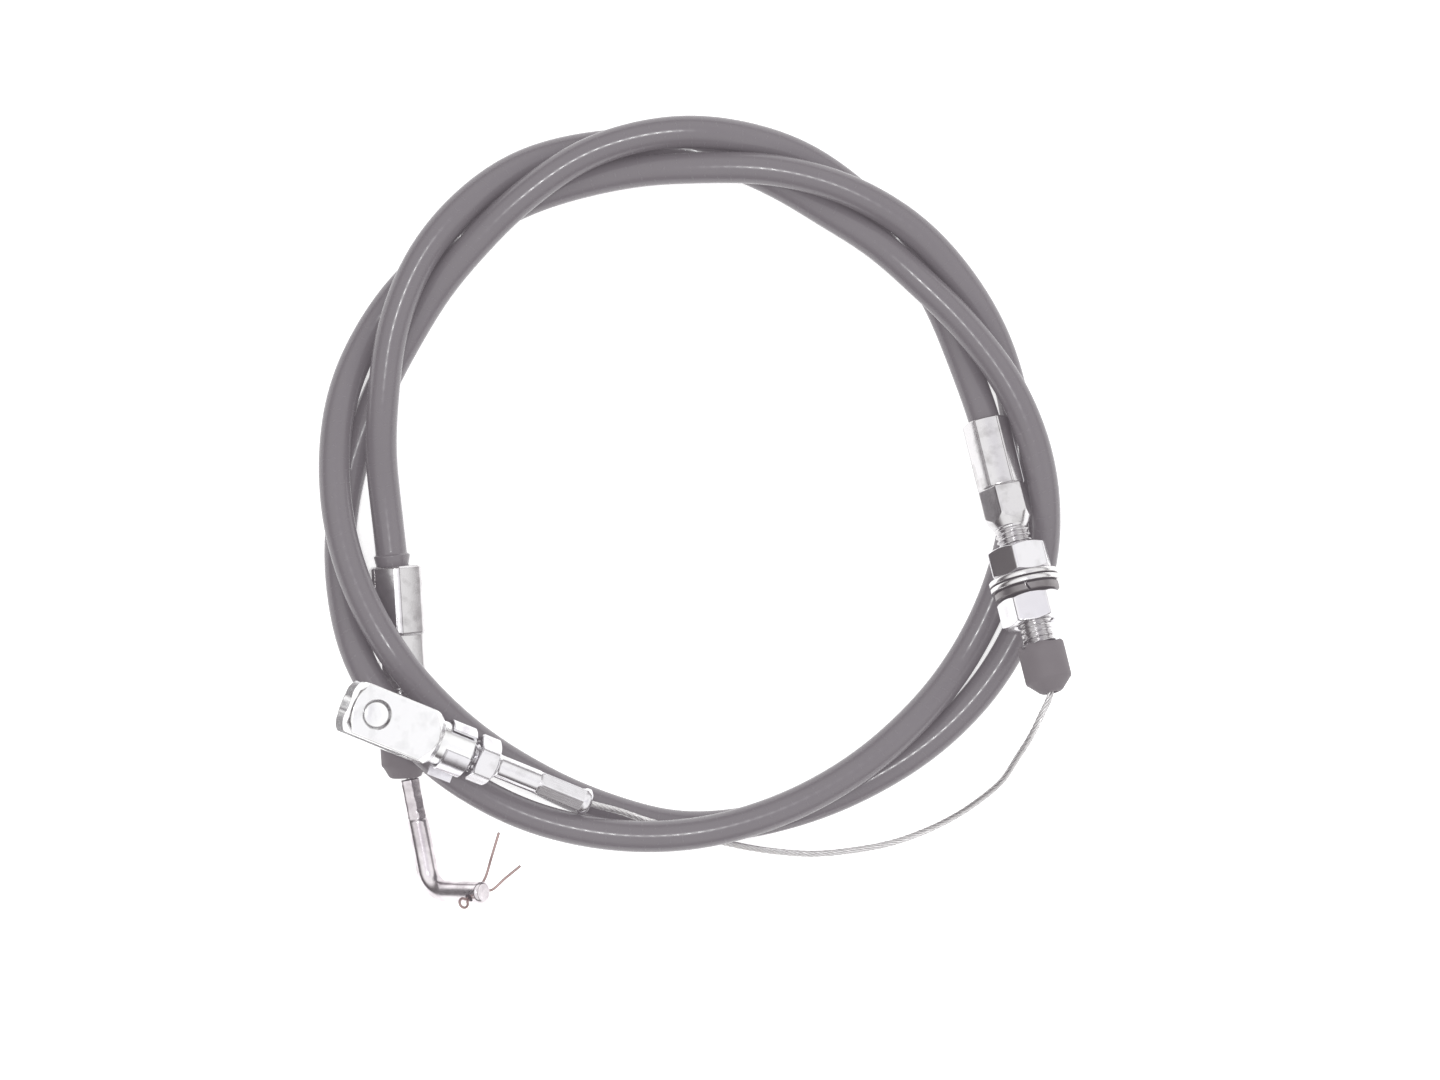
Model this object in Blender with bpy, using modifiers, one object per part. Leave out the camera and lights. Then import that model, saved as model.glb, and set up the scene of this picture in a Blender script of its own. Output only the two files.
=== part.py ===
"""Throttle cable: a coiled conduit with a bent throttle rod on one end and a fork head on the other.

Units are metres and +Z is up. The cable lies on the plane z = 0, and the origin is on that plane,
under the middle of the whole part.
"""
import math

import bmesh
import bpy
import numpy as np
from mathutils import Matrix, Vector

MM = 0.001

# Clearances
FIT_GAP = 0.0003
STACK_GAP = 0.00025
CABLE_RUN_GAP = 0.00095

# Place of the coil's centre, which keeps the origin under the middle of the part
COIL_CENTRE = Vector((-0.00088, 0.0061, 0.0))

# Conduit and cable sections
CONDUIT_RADIUS = 0.0036
JACKET_WALL = 0.0008
ARMOUR_WALL = 0.00065
LINER_WALL = 0.00035
CABLE_RADIUS = 0.00075
CONDUIT_POINTS = 76
JACKET_FLARE = 1.16
FLARE_LENGTH = 0.0018
FLARE_FADE = 0.0008
CABLE_LEAD_IN = 0.012

# Coil route: radius and height of the conduit's middle line in millimetres, every 15 degrees,
# from -X through +Y, first entry at 0 degrees
ROUTE_STEP = 15
ROUTE = [
    (70.0, 7.4), (72.4, 11.3), (77.1, 11.8), (81.0, 11.2), (82.6, 7.2), (80.4, 3.6),
    (76.8, 3.6), (72.5, 3.6), (69.6, 7.6), (69.7, 10.9), (72.4, 11.3), (76.9, 11.3),
    (80.6, 9.6), (82.6, 4.3), (82.2, 3.6), (80.9, 3.6), (79.3, 3.6), (78.6, 3.6),
    (78.5, 3.6), (76.6, 3.6), (75.7, 5.2), (76.1, 11.0), (77.4, 16.1), (79.3, 14.4),
    (80.9, 11.5), (81.9, 7.3), (80.7, 3.6), (77.9, 3.6), (75.3, 3.6), (73.0, 6.2),
    (72.2, 10.1), (74.2, 11.4), (76.4, 11.3), (77.6, 9.6), (77.6, 5.4), (76.7, 3.6),
    (75.3, 3.6), (74.5, 3.6), (74.2, 3.6), (74.3, 7.2), (75.3, 10.2), (77.1, 12.3),
    (79.6, 13.3), (82.1, 12.6), (84.4, 12.9), (85.6, 15.0), (85.3, 13.9), (82.7, 6.2),
    (78.6, 3.6), (74.7, 3.6), (72.9, 4.9), (73.3, 9.5), (75.8, 11.3), (79.3, 11.3),
    (80.6, 11.3), (79.9, 6.6), (76.7, 3.6), (72.6, 3.6), (69.5, 3.8),
]
ROUTE_SAMPLE = 5

# Bare cable route from the right fitting to the fork head: x, y, z in millimetres from the coil's centre
LOOP = [
    (80.3, -50.2, 23.1), (77.2, -56.9, 21.4), (73.9, -62.5, 17.6), (71.2, -67.2, 14.0),
    (67.3, -71.0, 10.4), (61.6, -75.3, 6.6), (55.1, -78.9, 3.6), (47.1, -82.0, 1.7),
    (39.3, -83.7, 0.9), (28.7, -84.8, 0.9), (20.7, -84.3, 1.6), (14.2, -83.3, 3.6),
    (9.2, -82.2, 5.8), (4.6, -81.0, 7.5), (0.0, -79.6, 8.4), (-5.0, -78.1, 8.4),
    (-10.2, -76.6, 8.6), (-15.9, -74.5, 10.3),
]
LOOP_POINTS = 34

# Left fitting: mouth, heading from -Y towards +X and pitch in degrees
LEFT_MOUTH = (-68.0, -18.6, 6.5)
LEFT_HEADING = 3.4
LEFT_PITCH = -1.1
CONDUIT_SEAT = 0.014
LEFT_SLEEVE_LENGTH = 0.0159
LEFT_SLEEVE_RADIUS = 0.0061
LEFT_SLEEVE_FLATS = 0.011
LEFT_COLLAR_LENGTH = 0.0096
LEFT_COLLAR_RADIUS = 0.0056
LEFT_COLLAR_FLATS = 0.010
LEFT_CONE_LENGTH = 0.0025
LEFT_STUD_LENGTH = 0.0154
LEFT_FERRULE_TURN = 3.0
FERRULE_EDGE = 0.0003
STUD_RADIUS = 0.004
STUD_CHAMFER = 0.0006
FERRULE_BORE = CABLE_RADIUS + CABLE_RUN_GAP
BOOT_GRIP = 0.006
BOOT_RADIUS = 0.0053
LEFT_BOOT_LENGTH = 0.0112
LEFT_BOOT_MOUTH = 0.0023
BOOT_CONE_LENGTH = 0.0026
BOOT_TIP_WALL = 0.0009

# Throttle rod
ROD_RADIUS = 0.0025
ROD_OFFSET = 0.0009
ROD_HEADING = 10.8
ROD_CRIMP_LENGTH = 0.0095
ROD_CRIMP_RADIUS = 0.00225
ROD_CRIMP_FLATS = 0.0041
ROD_CRIMP_TURN = 20.0
ROD_CRIMP_STEP = 0.0004
ROD_TAIL_DEPTH = 0.0085
ROD_LENGTH = 0.0262
ROD_BEND_RADIUS = 0.0055
LEG_LENGTH = 0.0165
LEG_PITCH = 40.5
LEG_HEADING = 92.0
LEG_CHAMFER = 0.0005
TAIL_STRAIGHT_END = 0.0398
SPLIT_HOLE_RADIUS = 0.001
SPLIT_HOLE_FROM_END = 0.0026

# Cotter pin
COTTER_WIRE = 0.0003
COTTER_SPREAD = 0.00036
COTTER_EYE = 0.0011
COTTER_STEM = 0.0034
COTTER_DIRECTION = (0.56, 0.50, -0.66)
COTTER_ACROSS = (-0.595, 0.797, 0.098)
COTTER_LONG_PRONG = (3.7, 11.5, -2.1)
COTTER_SHORT_PRONG = (8.2, 4.5, -1.7)

# Right fitting
RIGHT_MOUTH = (67.4, 14.4, 8.9)
RIGHT_HEADING = 13.2
RIGHT_PITCH = 12.2
RIGHT_SLEEVE_LENGTH = 0.0159
RIGHT_SLEEVE_RADIUS = 0.0051
RIGHT_SLEEVE_FLATS = 0.0091
RIGHT_HEX_LENGTH = 0.0067
RIGHT_HEX_RADIUS = 0.0057
RIGHT_HEX_FLATS = 0.010
RIGHT_CONE_LENGTH = 0.0031
RIGHT_STUD_LENGTH = 0.0345
BARE_THREAD = 0.0046
NUT_HEIGHT = 0.0065
NUT_FLATS = 0.013
NUT_CORNER = 0.0074
NUT_CHAMFER = 0.0007
WASHER_RADIUS = 0.008
WASHER_THICKNESS = 0.0012
SPRING_WASHER_RADIUS = 0.0074
SPRING_WASHER_THICKNESS = 0.0017
SPRING_SPLIT = 0.0012
RIGHT_BOOT_GRIP = 0.0072
RIGHT_BOOT_LENGTH = 0.0116
UPPER_NUT_TURN = 7.4
LOWER_NUT_TURN = 30.0
RIGHT_SLEEVE_TURN = 30.0
RIGHT_HEX_TURN = 15.0

# Fork head, terminal and clip pin
FORK_HOLE = (-71.5, -51.6, 31.1)
FORK_HEADING = 66.8
FORK_PITCH = -17.7
FORK_ROLL = -7.5
FORK_WIDTH = 0.012
FORK_TIP = 0.0062
FORK_BODY = 0.0155
FORK_CORNER = 0.00835
FORK_LENGTH = 0.0246
FORK_SLOT = 0.006
FORK_SLOT_DEPTH = 0.012
FORK_NECK_RADIUS = 0.005
FORK_TIP_RADIUS = 0.0045
FORK_TIP_ROUND = 0.0006
FORK_TIP_BAND = 0.0015
FORK_REAR_ROUND = 0.0025
FORK_SHOULDER = 0.001
PIN_RADIUS = 0.003
TERMINAL_THREAD_RADIUS = 0.003
TERMINAL_THREAD_BACK = 0.0015
TERMINAL_CHAMFER = 0.0004
LOCK_NUT_GAP = 0.0014
LOCK_NUT_HEIGHT = 0.0048
LOCK_NUT_FLATS = 0.010
LOCK_NUT_CORNER = 0.0056
LOCK_NUT_TURN = -17.5
THREAD_RUNOUT = 0.001
SHANK_RADIUS = 0.00268
SHANK_LENGTH = 0.0106
TERMINAL_RADIUS = 0.003
TERMINAL_FLATS = 0.0051
TERMINAL_TURN = 5.0
CRIMP_LENGTH = 0.0113
LIP_LENGTH = 0.0018
CABLE_SEAT_DEPTH = 0.009
STRAP_THICKNESS = 0.0007
STRAP_WIDTH = 0.0064
STRAP_EYE_RADIUS = 0.005
STRAP_FOOT_WIDTH = 0.0032
BAND_BACK = 0.0028
BAND_LENGTH = 0.0059
BAND_INSET = 0.0001
BAND_OPENING = 53.0
BAND_OPENING_TURN = -12.0
PIN_HEAD_RADIUS = 0.0042
PIN_HEAD_THICKNESS = 0.0007
PIN_CHAMFER = 0.0005
EAR_REACH = 0.0074
EAR_DROP = 0.0034

SIDES = 24
SMALL_SIDES = 16
BORE_SIDES = 12
FORK_SIDES = 32
BEND_STEPS = 8
EYE_STEPS = 14
BAND_STEPS = 28

# How far cutters reach past what they cut, and the angle up to which faces are shaded as one
CUT_PAST = 0.001
SMOOTH_BELOW = 35.0

# Places that follow from the sizes above
LEFT_STUD_END = LEFT_SLEEVE_LENGTH + LEFT_COLLAR_LENGTH + LEFT_CONE_LENGTH + LEFT_STUD_LENGTH
LEFT_BOOT_START = LEFT_STUD_END - BOOT_GRIP
RIGHT_CONE_END = RIGHT_SLEEVE_LENGTH + RIGHT_HEX_LENGTH + RIGHT_CONE_LENGTH
RIGHT_STUD_END = RIGHT_CONE_END + RIGHT_STUD_LENGTH
UPPER_NUT_START = RIGHT_CONE_END + BARE_THREAD
RIGHT_BOOT_START = RIGHT_STUD_END - RIGHT_BOOT_GRIP
TERMINAL_THREAD_START = FORK_SLOT_DEPTH + TERMINAL_THREAD_BACK
LOCK_NUT_START = FORK_LENGTH + LOCK_NUT_GAP
SHANK_START = LOCK_NUT_START + LOCK_NUT_HEIGHT + THREAD_RUNOUT
SHANK_END = SHANK_START + SHANK_LENGTH
TERMINAL_END = SHANK_END + CRIMP_LENGTH + LIP_LENGTH
BAND_START = FORK_BODY + BAND_BACK


def clear_scene():
    for obj in list(bpy.data.objects):
        bpy.data.objects.remove(obj, do_unlink=True)


def make_collection(name):
    collection = bpy.data.collections.new(name)
    bpy.context.scene.collection.children.link(collection)
    return collection


clear_scene()
PARTS = make_collection("throttle_cable")
GUIDES = make_collection("cutters_and_axes")


def material(name, colour, roughness, metallic):
    made = bpy.data.materials.new(name)
    made.use_nodes = True
    shader = made.node_tree.nodes["Principled BSDF"]
    shader.inputs["Base Color"].default_value = (*colour, 1.0)
    shader.inputs["Roughness"].default_value = roughness
    shader.inputs["Metallic"].default_value = metallic
    return made


BLACK_PVC = material("black_pvc", (0.15, 0.142, 0.15), 0.35, 0.0)
ARMOUR_STEEL = material("armour_steel", (0.42, 0.42, 0.44), 0.4, 1.0)
LINER_NYLON = material("liner_nylon", (0.75, 0.74, 0.7), 0.5, 0.0)
CABLE_STEEL = material("cable_steel", (0.5, 0.49, 0.47), 0.35, 1.0)
ZINC = material("zinc_plated", (0.72, 0.72, 0.7), 0.25, 1.0)
WASHER_ZINC = material("washer_zinc", (0.8, 0.8, 0.78), 0.3, 1.0)
SPRING_STEEL = material("spring_steel", (0.16, 0.15, 0.15), 0.35, 1.0)
ROD_STEEL = material("rod_steel", (0.5, 0.48, 0.48), 0.35, 1.0)
COTTER_STEEL = material("cotter_steel", (0.3, 0.22, 0.2), 0.4, 1.0)
RUBBER = material("boot_rubber", (0.15, 0.145, 0.15), 0.6, 0.0)


def smooth_values(knots, values, at):
    """Values between knots on a curve that never overshoots them."""
    knots = np.asarray(knots, float)
    values = np.asarray(values, float)
    steps = np.diff(values) / np.diff(knots)
    slopes = np.empty_like(values)
    slopes[0] = steps[0]
    slopes[-1] = steps[-1]
    before = steps[:-1]
    after = steps[1:]
    together = before * after
    total = np.where(together > 0.0, before + after, 1.0)
    slopes[1:-1] = np.where(together > 0.0, 2.0 * together / total, 0.0)
    index = np.clip(np.searchsorted(knots, at, side="right") - 1, 0, len(knots) - 2)
    span = knots[index + 1] - knots[index]
    u = (at - knots[index]) / span
    from_value = (2 * u**3 - 3 * u**2 + 1) * values[index]
    from_slope = (u**3 - 2 * u**2 + u) * span * slopes[index]
    to_value = (3 * u**2 - 2 * u**3) * values[index + 1]
    to_slope = (u**3 - u**2) * span * slopes[index + 1]
    return from_value + from_slope + to_value + to_slope


def smooth_curve(points):
    """Closely spaced points on a smooth curve through the given points."""
    fixed = [np.asarray(p, float) for p in points]
    fixed = [2 * fixed[0] - fixed[1]] + fixed + [2 * fixed[-1] - fixed[-2]]
    dense = []
    for p0, p1, p2, p3 in zip(fixed, fixed[1:], fixed[2:], fixed[3:]):
        t1 = np.linalg.norm(p1 - p0) ** 0.5
        t2 = t1 + np.linalg.norm(p2 - p1) ** 0.5
        t3 = t2 + np.linalg.norm(p3 - p2) ** 0.5
        for t in np.linspace(t1, t2, 12, endpoint=False):
            a1 = p0 + (p1 - p0) * t / t1
            a2 = p1 + (p2 - p1) * (t - t1) / (t2 - t1)
            a3 = p2 + (p3 - p2) * (t - t2) / (t3 - t2)
            b1 = a1 + (a2 - a1) * t / t2
            b2 = a2 + (a3 - a2) * (t - t1) / (t3 - t1)
            dense.append(b1 + (b2 - b1) * (t - t1) / (t2 - t1))
    dense.append(fixed[-2])
    return np.array(dense)


def distances_along(curve):
    return np.concatenate([[0.0], np.cumsum(np.linalg.norm(np.diff(curve, axis=0), axis=1))])


def points_at(curve, distances):
    along = distances_along(curve)
    return [Vector([np.interp(d, along, curve[:, k]) for k in range(3)]) for d in distances]


def smooth_through(points, count):
    """Evenly spaced points on a smooth curve through the given points."""
    curve = smooth_curve(points)
    return points_at(curve, np.linspace(0.0, distances_along(curve)[-1], count))


def placed(point_mm):
    return COIL_CENTRE + Vector(point_mm) * MM


def axis_frame(name, origin, heading, pitch, roll=0.0):
    """An empty whose Z runs along a fitting's axis and whose X is the side that faces up."""
    h = math.radians(heading)
    p = math.radians(pitch)
    along = Vector((math.sin(h) * math.cos(p), -math.cos(h) * math.cos(p), math.sin(p)))
    up = (Vector((0.0, 0.0, 1.0)) - along * along.z).normalized()
    side = along.cross(up)
    matrix = Matrix((up, side, along)).transposed().to_4x4()
    matrix = matrix @ Matrix.Rotation(math.radians(roll), 4, "Z")
    matrix.translation = origin
    empty = bpy.data.objects.new(name, None)
    empty.matrix_world = matrix
    GUIDES.objects.link(empty)
    return empty


LEFT = axis_frame("left_axis", placed(LEFT_MOUTH), LEFT_HEADING, LEFT_PITCH)
RIGHT = axis_frame("right_axis", placed(RIGHT_MOUTH), RIGHT_HEADING, RIGHT_PITCH)
FORK = axis_frame("fork_axis", placed(FORK_HOLE), FORK_HEADING, FORK_PITCH, FORK_ROLL)


def on_axis(frame, distance):
    return frame.matrix_world @ Vector((0.0, 0.0, distance))


def axis_direction(frame):
    return frame.matrix_world.to_3x3() @ Vector((0.0, 0.0, 1.0))


def add_object(name, mesh, coat, frame=None, collection=None):
    obj = bpy.data.objects.new(name, mesh)
    (collection or PARTS).objects.link(obj)
    if coat:
        mesh.materials.append(coat)
    if frame:
        obj.parent = frame
    return obj


def turned(name, outer, inner, coat, frame, sides=SIDES):
    """A turned piece with a bore, from (distance along the axis, radius) pairs in rising order."""
    outline = list(reversed(outer)) + list(inner)
    count = len(outline)
    return swept(name, outline, [(i, (i + 1) % count) for i in range(count)], coat, frame, sides)


def turned_solid(name, outer, coat, frame, sides):
    """A turned piece without a bore, closed on its axis at both ends."""
    outline = [(outer[-1][0], 0.0)] + list(reversed(outer)) + [(outer[0][0], 0.0)]
    return swept(name, outline, [(i, i + 1) for i in range(len(outline) - 1)], coat, frame, sides)


def swept(name, outline, edges, coat, frame, sides):
    mesh = bpy.data.meshes.new(name)
    mesh.from_pydata([(r, 0.0, z) for z, r in outline], edges, [])
    obj = add_object(name, mesh, coat, frame)
    screw = obj.modifiers.new("turned", "SCREW")
    screw.axis = "Z"
    screw.angle = math.tau
    screw.steps = sides
    screw.render_steps = sides
    screw.use_merge_vertices = True
    screw.merge_threshold = 0.00001
    screw.use_smooth_shade = False
    return obj


def as_cutter(obj):
    obj.hide_render = True
    obj.display_type = "WIRE"
    return obj


def cut(obj, cutter, operation="DIFFERENCE"):
    boolean = obj.modifiers.new(cutter.name, "BOOLEAN")
    boolean.operation = operation
    boolean.object = cutter
    boolean.solver = "EXACT"


def bmesh_object(name, bm, coat=None, frame=None, collection=None):
    mesh = bpy.data.meshes.new(name)
    bm.to_mesh(mesh)
    bm.free()
    return add_object(name, mesh, coat, frame, collection)


def flats_cutter(name, frame, sides, across, start, end, turn, wall=0.006):
    """A ring whose hole is a regular polygon, which leaves flats on what it cuts."""
    bm = bmesh.new()
    corner = across / 2 / math.cos(math.pi / sides)
    depth = end - start
    bmesh.ops.create_cone(bm, cap_ends=False, segments=sides, radius1=corner, radius2=corner, depth=depth)
    place = Matrix.Translation((0.0, 0.0, (start + end) / 2))
    # A cone's first corner lies on its +Y side
    bm.transform(place @ Matrix.Rotation(math.radians(turn - 90.0), 4, "Z"))
    obj = as_cutter(bmesh_object(name, bm, None, frame, GUIDES))
    ring = obj.modifiers.new("ring", "SOLIDIFY")
    ring.thickness = wall
    ring.offset = 1.0
    ring.use_even_offset = True
    return obj


def cylinder_cutter(name, frame, radius, centre, direction, depth, sides=SMALL_SIDES):
    bm = bmesh.new()
    bmesh.ops.create_cone(bm, cap_ends=True, segments=sides, radius1=radius, radius2=radius, depth=depth)
    turn = Vector(direction).to_track_quat("Z", "Y").to_matrix().to_4x4()
    bm.transform(Matrix.Translation(centre) @ turn)
    return as_cutter(bmesh_object(name, bm, None, frame, GUIDES))


def box_cutter(name, frame, low, high):
    bm = bmesh.new()
    size = [h - l for l, h in zip(low, high)]
    middle = [(l + h) / 2 for l, h in zip(low, high)]
    bmesh.ops.create_cube(bm, size=1.0)
    bm.transform(Matrix.Translation(middle) @ Matrix.Diagonal((*size, 1.0)))
    return as_cutter(bmesh_object(name, bm, None, frame, GUIDES))


def tube_curve(name, points, radius, bevel_resolution, capped, radii=None):
    curve = bpy.data.curves.new(name, "CURVE")
    curve.dimensions = "3D"
    curve.bevel_depth = radius
    curve.bevel_resolution = bevel_resolution
    curve.use_fill_caps = capped
    curve.twist_mode = "MINIMUM"
    spline = curve.splines.new("POLY")
    spline.points.add(len(points) - 1)
    for i, (target, point) in enumerate(zip(spline.points, points)):
        target.co = (*point, 1.0)
        if radii:
            target.radius = radii[i]
    return curve


def tube(name, points, radius, bevel_resolution, coat):
    curve = tube_curve(name, points, radius, bevel_resolution, True)
    return add_object(name, curve, coat)


def tube_mesh(name, points, radius, bevel_resolution, coat, capped, radii=None):
    """A curve tube turned into a mesh, so that it can be walled or cut."""
    curve = tube_curve(name + "_curve", points, radius, bevel_resolution, capped, radii)
    source = bpy.data.objects.new(name + "_curve", curve)
    GUIDES.objects.link(source)
    evaluated = source.evaluated_get(bpy.context.evaluated_depsgraph_get())
    mesh = bpy.data.meshes.new_from_object(evaluated)
    mesh.name = name
    bm = bmesh.new()
    bm.from_mesh(mesh)
    bmesh.ops.remove_doubles(bm, verts=bm.verts, dist=0.000001)
    bm.to_mesh(mesh)
    bm.free()
    mesh.materials.clear()
    obj = add_object(name, mesh, coat)
    obj.matrix_world = source.matrix_world
    bpy.data.objects.remove(source)
    return obj


def hollow_tube(name, points, radius, wall, bevel_resolution, coat, radii=None):
    obj = tube_mesh(name, points, radius, bevel_resolution, coat, False, radii)
    shell = obj.modifiers.new("wall", "SOLIDIFY")
    shell.thickness = wall
    shell.offset = -1.0
    shell.use_even_offset = True
    return obj


def conduit_line():
    """The conduit's middle line, from its seat in the left ferrule to its seat in the right one."""
    knots = [i * ROUTE_STEP for i in range(len(ROUTE))]
    angles = np.arange(0.0, knots[-1] + 1.0, ROUTE_SAMPLE)
    radius = smooth_values(knots, [r for r, _ in ROUTE], angles) * MM
    height = smooth_values(knots, [h for _, h in ROUTE], angles) * MM
    turn = np.radians(angles)
    coil = []
    for r, h, a in zip(radius, height, turn):
        coil.append(COIL_CENTRE + Vector((-r * math.cos(a), r * math.sin(a), h)))
    left = [on_axis(LEFT, d) for d in (CONDUIT_SEAT, CONDUIT_SEAT / 2, 0.0)]
    right = [on_axis(RIGHT, d) for d in (0.0, CONDUIT_SEAT / 2, CONDUIT_SEAT)]
    curve = smooth_curve(left + coil + right)
    flare_start = CONDUIT_SEAT + FIT_GAP
    flare_end = flare_start + FLARE_LENGTH
    lip = [0.0, CONDUIT_SEAT, flare_start + FIT_GAP, flare_end, flare_end + FLARE_FADE]
    rest = np.linspace(lip[-1], distances_along(curve)[-1], CONDUIT_POINTS)[1:]
    return points_at(curve, lip + list(rest))


def make_conduit(line):
    flare = [1.0, 1.0, JACKET_FLARE, JACKET_FLARE] + [1.0] * (len(line) - 4)
    armour_radius = CONDUIT_RADIUS - JACKET_WALL - FIT_GAP
    liner_radius = armour_radius - ARMOUR_WALL - FIT_GAP
    hollow_tube("conduit_jacket", line, CONDUIT_RADIUS, JACKET_WALL, 4, BLACK_PVC, flare)
    hollow_tube("conduit_armour", line, armour_radius, ARMOUR_WALL, 2, ARMOUR_STEEL)
    hollow_tube("conduit_liner", line, liner_radius, LINER_WALL, 2, LINER_NYLON)


def make_inner_cable(line):
    """The stranded cable: through the conduit and the right fitting, and bare to the terminal."""
    straight = [on_axis(RIGHT, d) for d in (CONDUIT_SEAT + CABLE_LEAD_IN, RIGHT_STUD_END)]
    loop = [on_axis(RIGHT, RIGHT_BOOT_START + RIGHT_BOOT_LENGTH)]
    loop += [placed(p) for p in LOOP]
    loop += [on_axis(FORK, TERMINAL_END), on_axis(FORK, TERMINAL_END - CABLE_SEAT_DEPTH)]
    bare = smooth_through(loop, LOOP_POINTS)
    tube("inner_cable", line + straight + bare, CABLE_RADIUS, 2, CABLE_STEEL)


def chamfered(start, end, radius, chamfer):
    low = radius - chamfer
    return [(start, low), (start + chamfer, radius), (end - chamfer, radius), (end, low)]


def make_ferrule(name, frame, sleeve, middle, cone_length, stud_length, turns):
    """A one-piece ferrule: crimped sleeve, hexagon, cone and stud on one bore."""
    sleeve_length, sleeve_radius, sleeve_flats = sleeve
    middle_length, middle_radius, middle_flats = middle
    hex_end = sleeve_length + middle_length
    cone_end = hex_end + cone_length
    stud_end = cone_end + stud_length
    edge = FERRULE_EDGE
    outer = [(0.0, sleeve_radius - edge), (edge, sleeve_radius), (sleeve_length, sleeve_radius)]
    outer += [(sleeve_length, middle_radius), (hex_end, middle_radius), (cone_end, STUD_RADIUS)]
    outer += [(stud_end - STUD_CHAMFER, STUD_RADIUS), (stud_end, STUD_RADIUS - STUD_CHAMFER)]
    socket = CONDUIT_RADIUS + FIT_GAP
    seat = CONDUIT_SEAT + FIT_GAP
    inner = [(0.0, socket), (seat, socket), (seat, FERRULE_BORE), (stud_end, FERRULE_BORE)]
    obj = turned(name, outer, inner, ZINC, frame)
    sleeve_end = sleeve_length - edge
    front = -2 * CUT_PAST
    cut(obj, flats_cutter(name + "_sleeve_flats", frame, 6, sleeve_flats, front, sleeve_end, turns[0]))
    cut(obj, flats_cutter(name + "_hex_flats", frame, 6, middle_flats, sleeve_length, cone_end, turns[1]))


def make_nut(name, frame, start, height, flats, corner, chamfer, bore, turn, coat):
    obj = turned(name, chamfered(start, start + height, corner, chamfer),
                 [(start, bore), (start + height, bore)], coat, frame)
    low = start - CUT_PAST
    high = start + height + CUT_PAST
    cut(obj, flats_cutter(name + "_flats", frame, 6, flats, low, high, turn))


def make_washer(name, start, thickness, radius, coat):
    bore = STUD_RADIUS + FIT_GAP
    end = start + thickness
    return turned(name, [(start, radius), (end, radius)], [(start, bore), (end, bore)], coat, RIGHT)


def make_bulkhead_stack():
    """Two nuts with two flat washers and a spring washer between them, on the right stud."""
    bore = STUD_RADIUS + FIT_GAP
    at = UPPER_NUT_START
    make_nut("bulkhead_nut_upper", RIGHT, at, NUT_HEIGHT, NUT_FLATS, NUT_CORNER, NUT_CHAMFER, bore,
             UPPER_NUT_TURN, ZINC)
    at += NUT_HEIGHT + STACK_GAP
    make_washer("flat_washer_upper", at, WASHER_THICKNESS, WASHER_RADIUS, WASHER_ZINC)
    at += WASHER_THICKNESS + STACK_GAP
    make_washer("flat_washer_lower", at, WASHER_THICKNESS, WASHER_RADIUS, WASHER_ZINC)
    at += WASHER_THICKNESS + STACK_GAP
    spring = make_washer("spring_washer", at, SPRING_WASHER_THICKNESS, SPRING_WASHER_RADIUS, SPRING_STEEL)
    half = SPRING_SPLIT / 2
    low = (STUD_RADIUS - FIT_GAP, -half, at - FIT_GAP)
    high = (SPRING_WASHER_RADIUS + FIT_GAP, half, at + SPRING_WASHER_THICKNESS + FIT_GAP)
    split = box_cutter("spring_split", RIGHT, low, high)
    cut(spring, split)
    at += SPRING_WASHER_THICKNESS + STACK_GAP
    make_nut("bulkhead_nut_lower", RIGHT, at, NUT_HEIGHT, NUT_FLATS, NUT_CORNER, NUT_CHAMFER, bore,
             LOWER_NUT_TURN, ZINC)


def make_boot(name, frame, start, length, stud_end, mouth):
    """A rubber boot that grips the end of a stud and closes to a small mouth."""
    end = start + length
    cone = end - BOOT_CONE_LENGTH
    grip = STUD_RADIUS + FIT_GAP
    shoulder = stud_end + FIT_GAP
    outer = [(start, BOOT_RADIUS), (cone, BOOT_RADIUS), (end, mouth + BOOT_TIP_WALL)]
    inner = [(start, grip), (shoulder, grip), (shoulder, mouth), (end, mouth)]
    turned(name, outer, inner, RUBBER, frame)


def rod_points(start, heading, corner_distance):
    """The rod's middle line: straight, a round bend and the raised leg."""
    h = math.radians(heading)
    slope = axis_direction(LEFT).z
    flat = math.sqrt(1.0 - slope * slope)
    along = Vector((math.sin(h) * flat, -math.cos(h) * flat, slope))
    lh = math.radians(LEG_HEADING)
    lp = math.radians(LEG_PITCH)
    leg = Vector((math.sin(lh) * math.cos(lp), -math.cos(lh) * math.cos(lp), math.sin(lp)))
    corner = start + along * corner_distance
    swing = along.angle(leg)
    setback = ROD_BEND_RADIUS * math.tan(swing / 2)
    inward = (leg - along * along.dot(leg)).normalized()
    centre = corner - along * setback + inward * ROD_BEND_RADIUS
    bend = []
    for i in range(BEND_STEPS + 1):
        a = swing * i / BEND_STEPS
        bend.append(centre + (along * math.sin(a) - inward * math.cos(a)) * ROD_BEND_RADIUS)
    return along, leg, corner, bend


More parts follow.
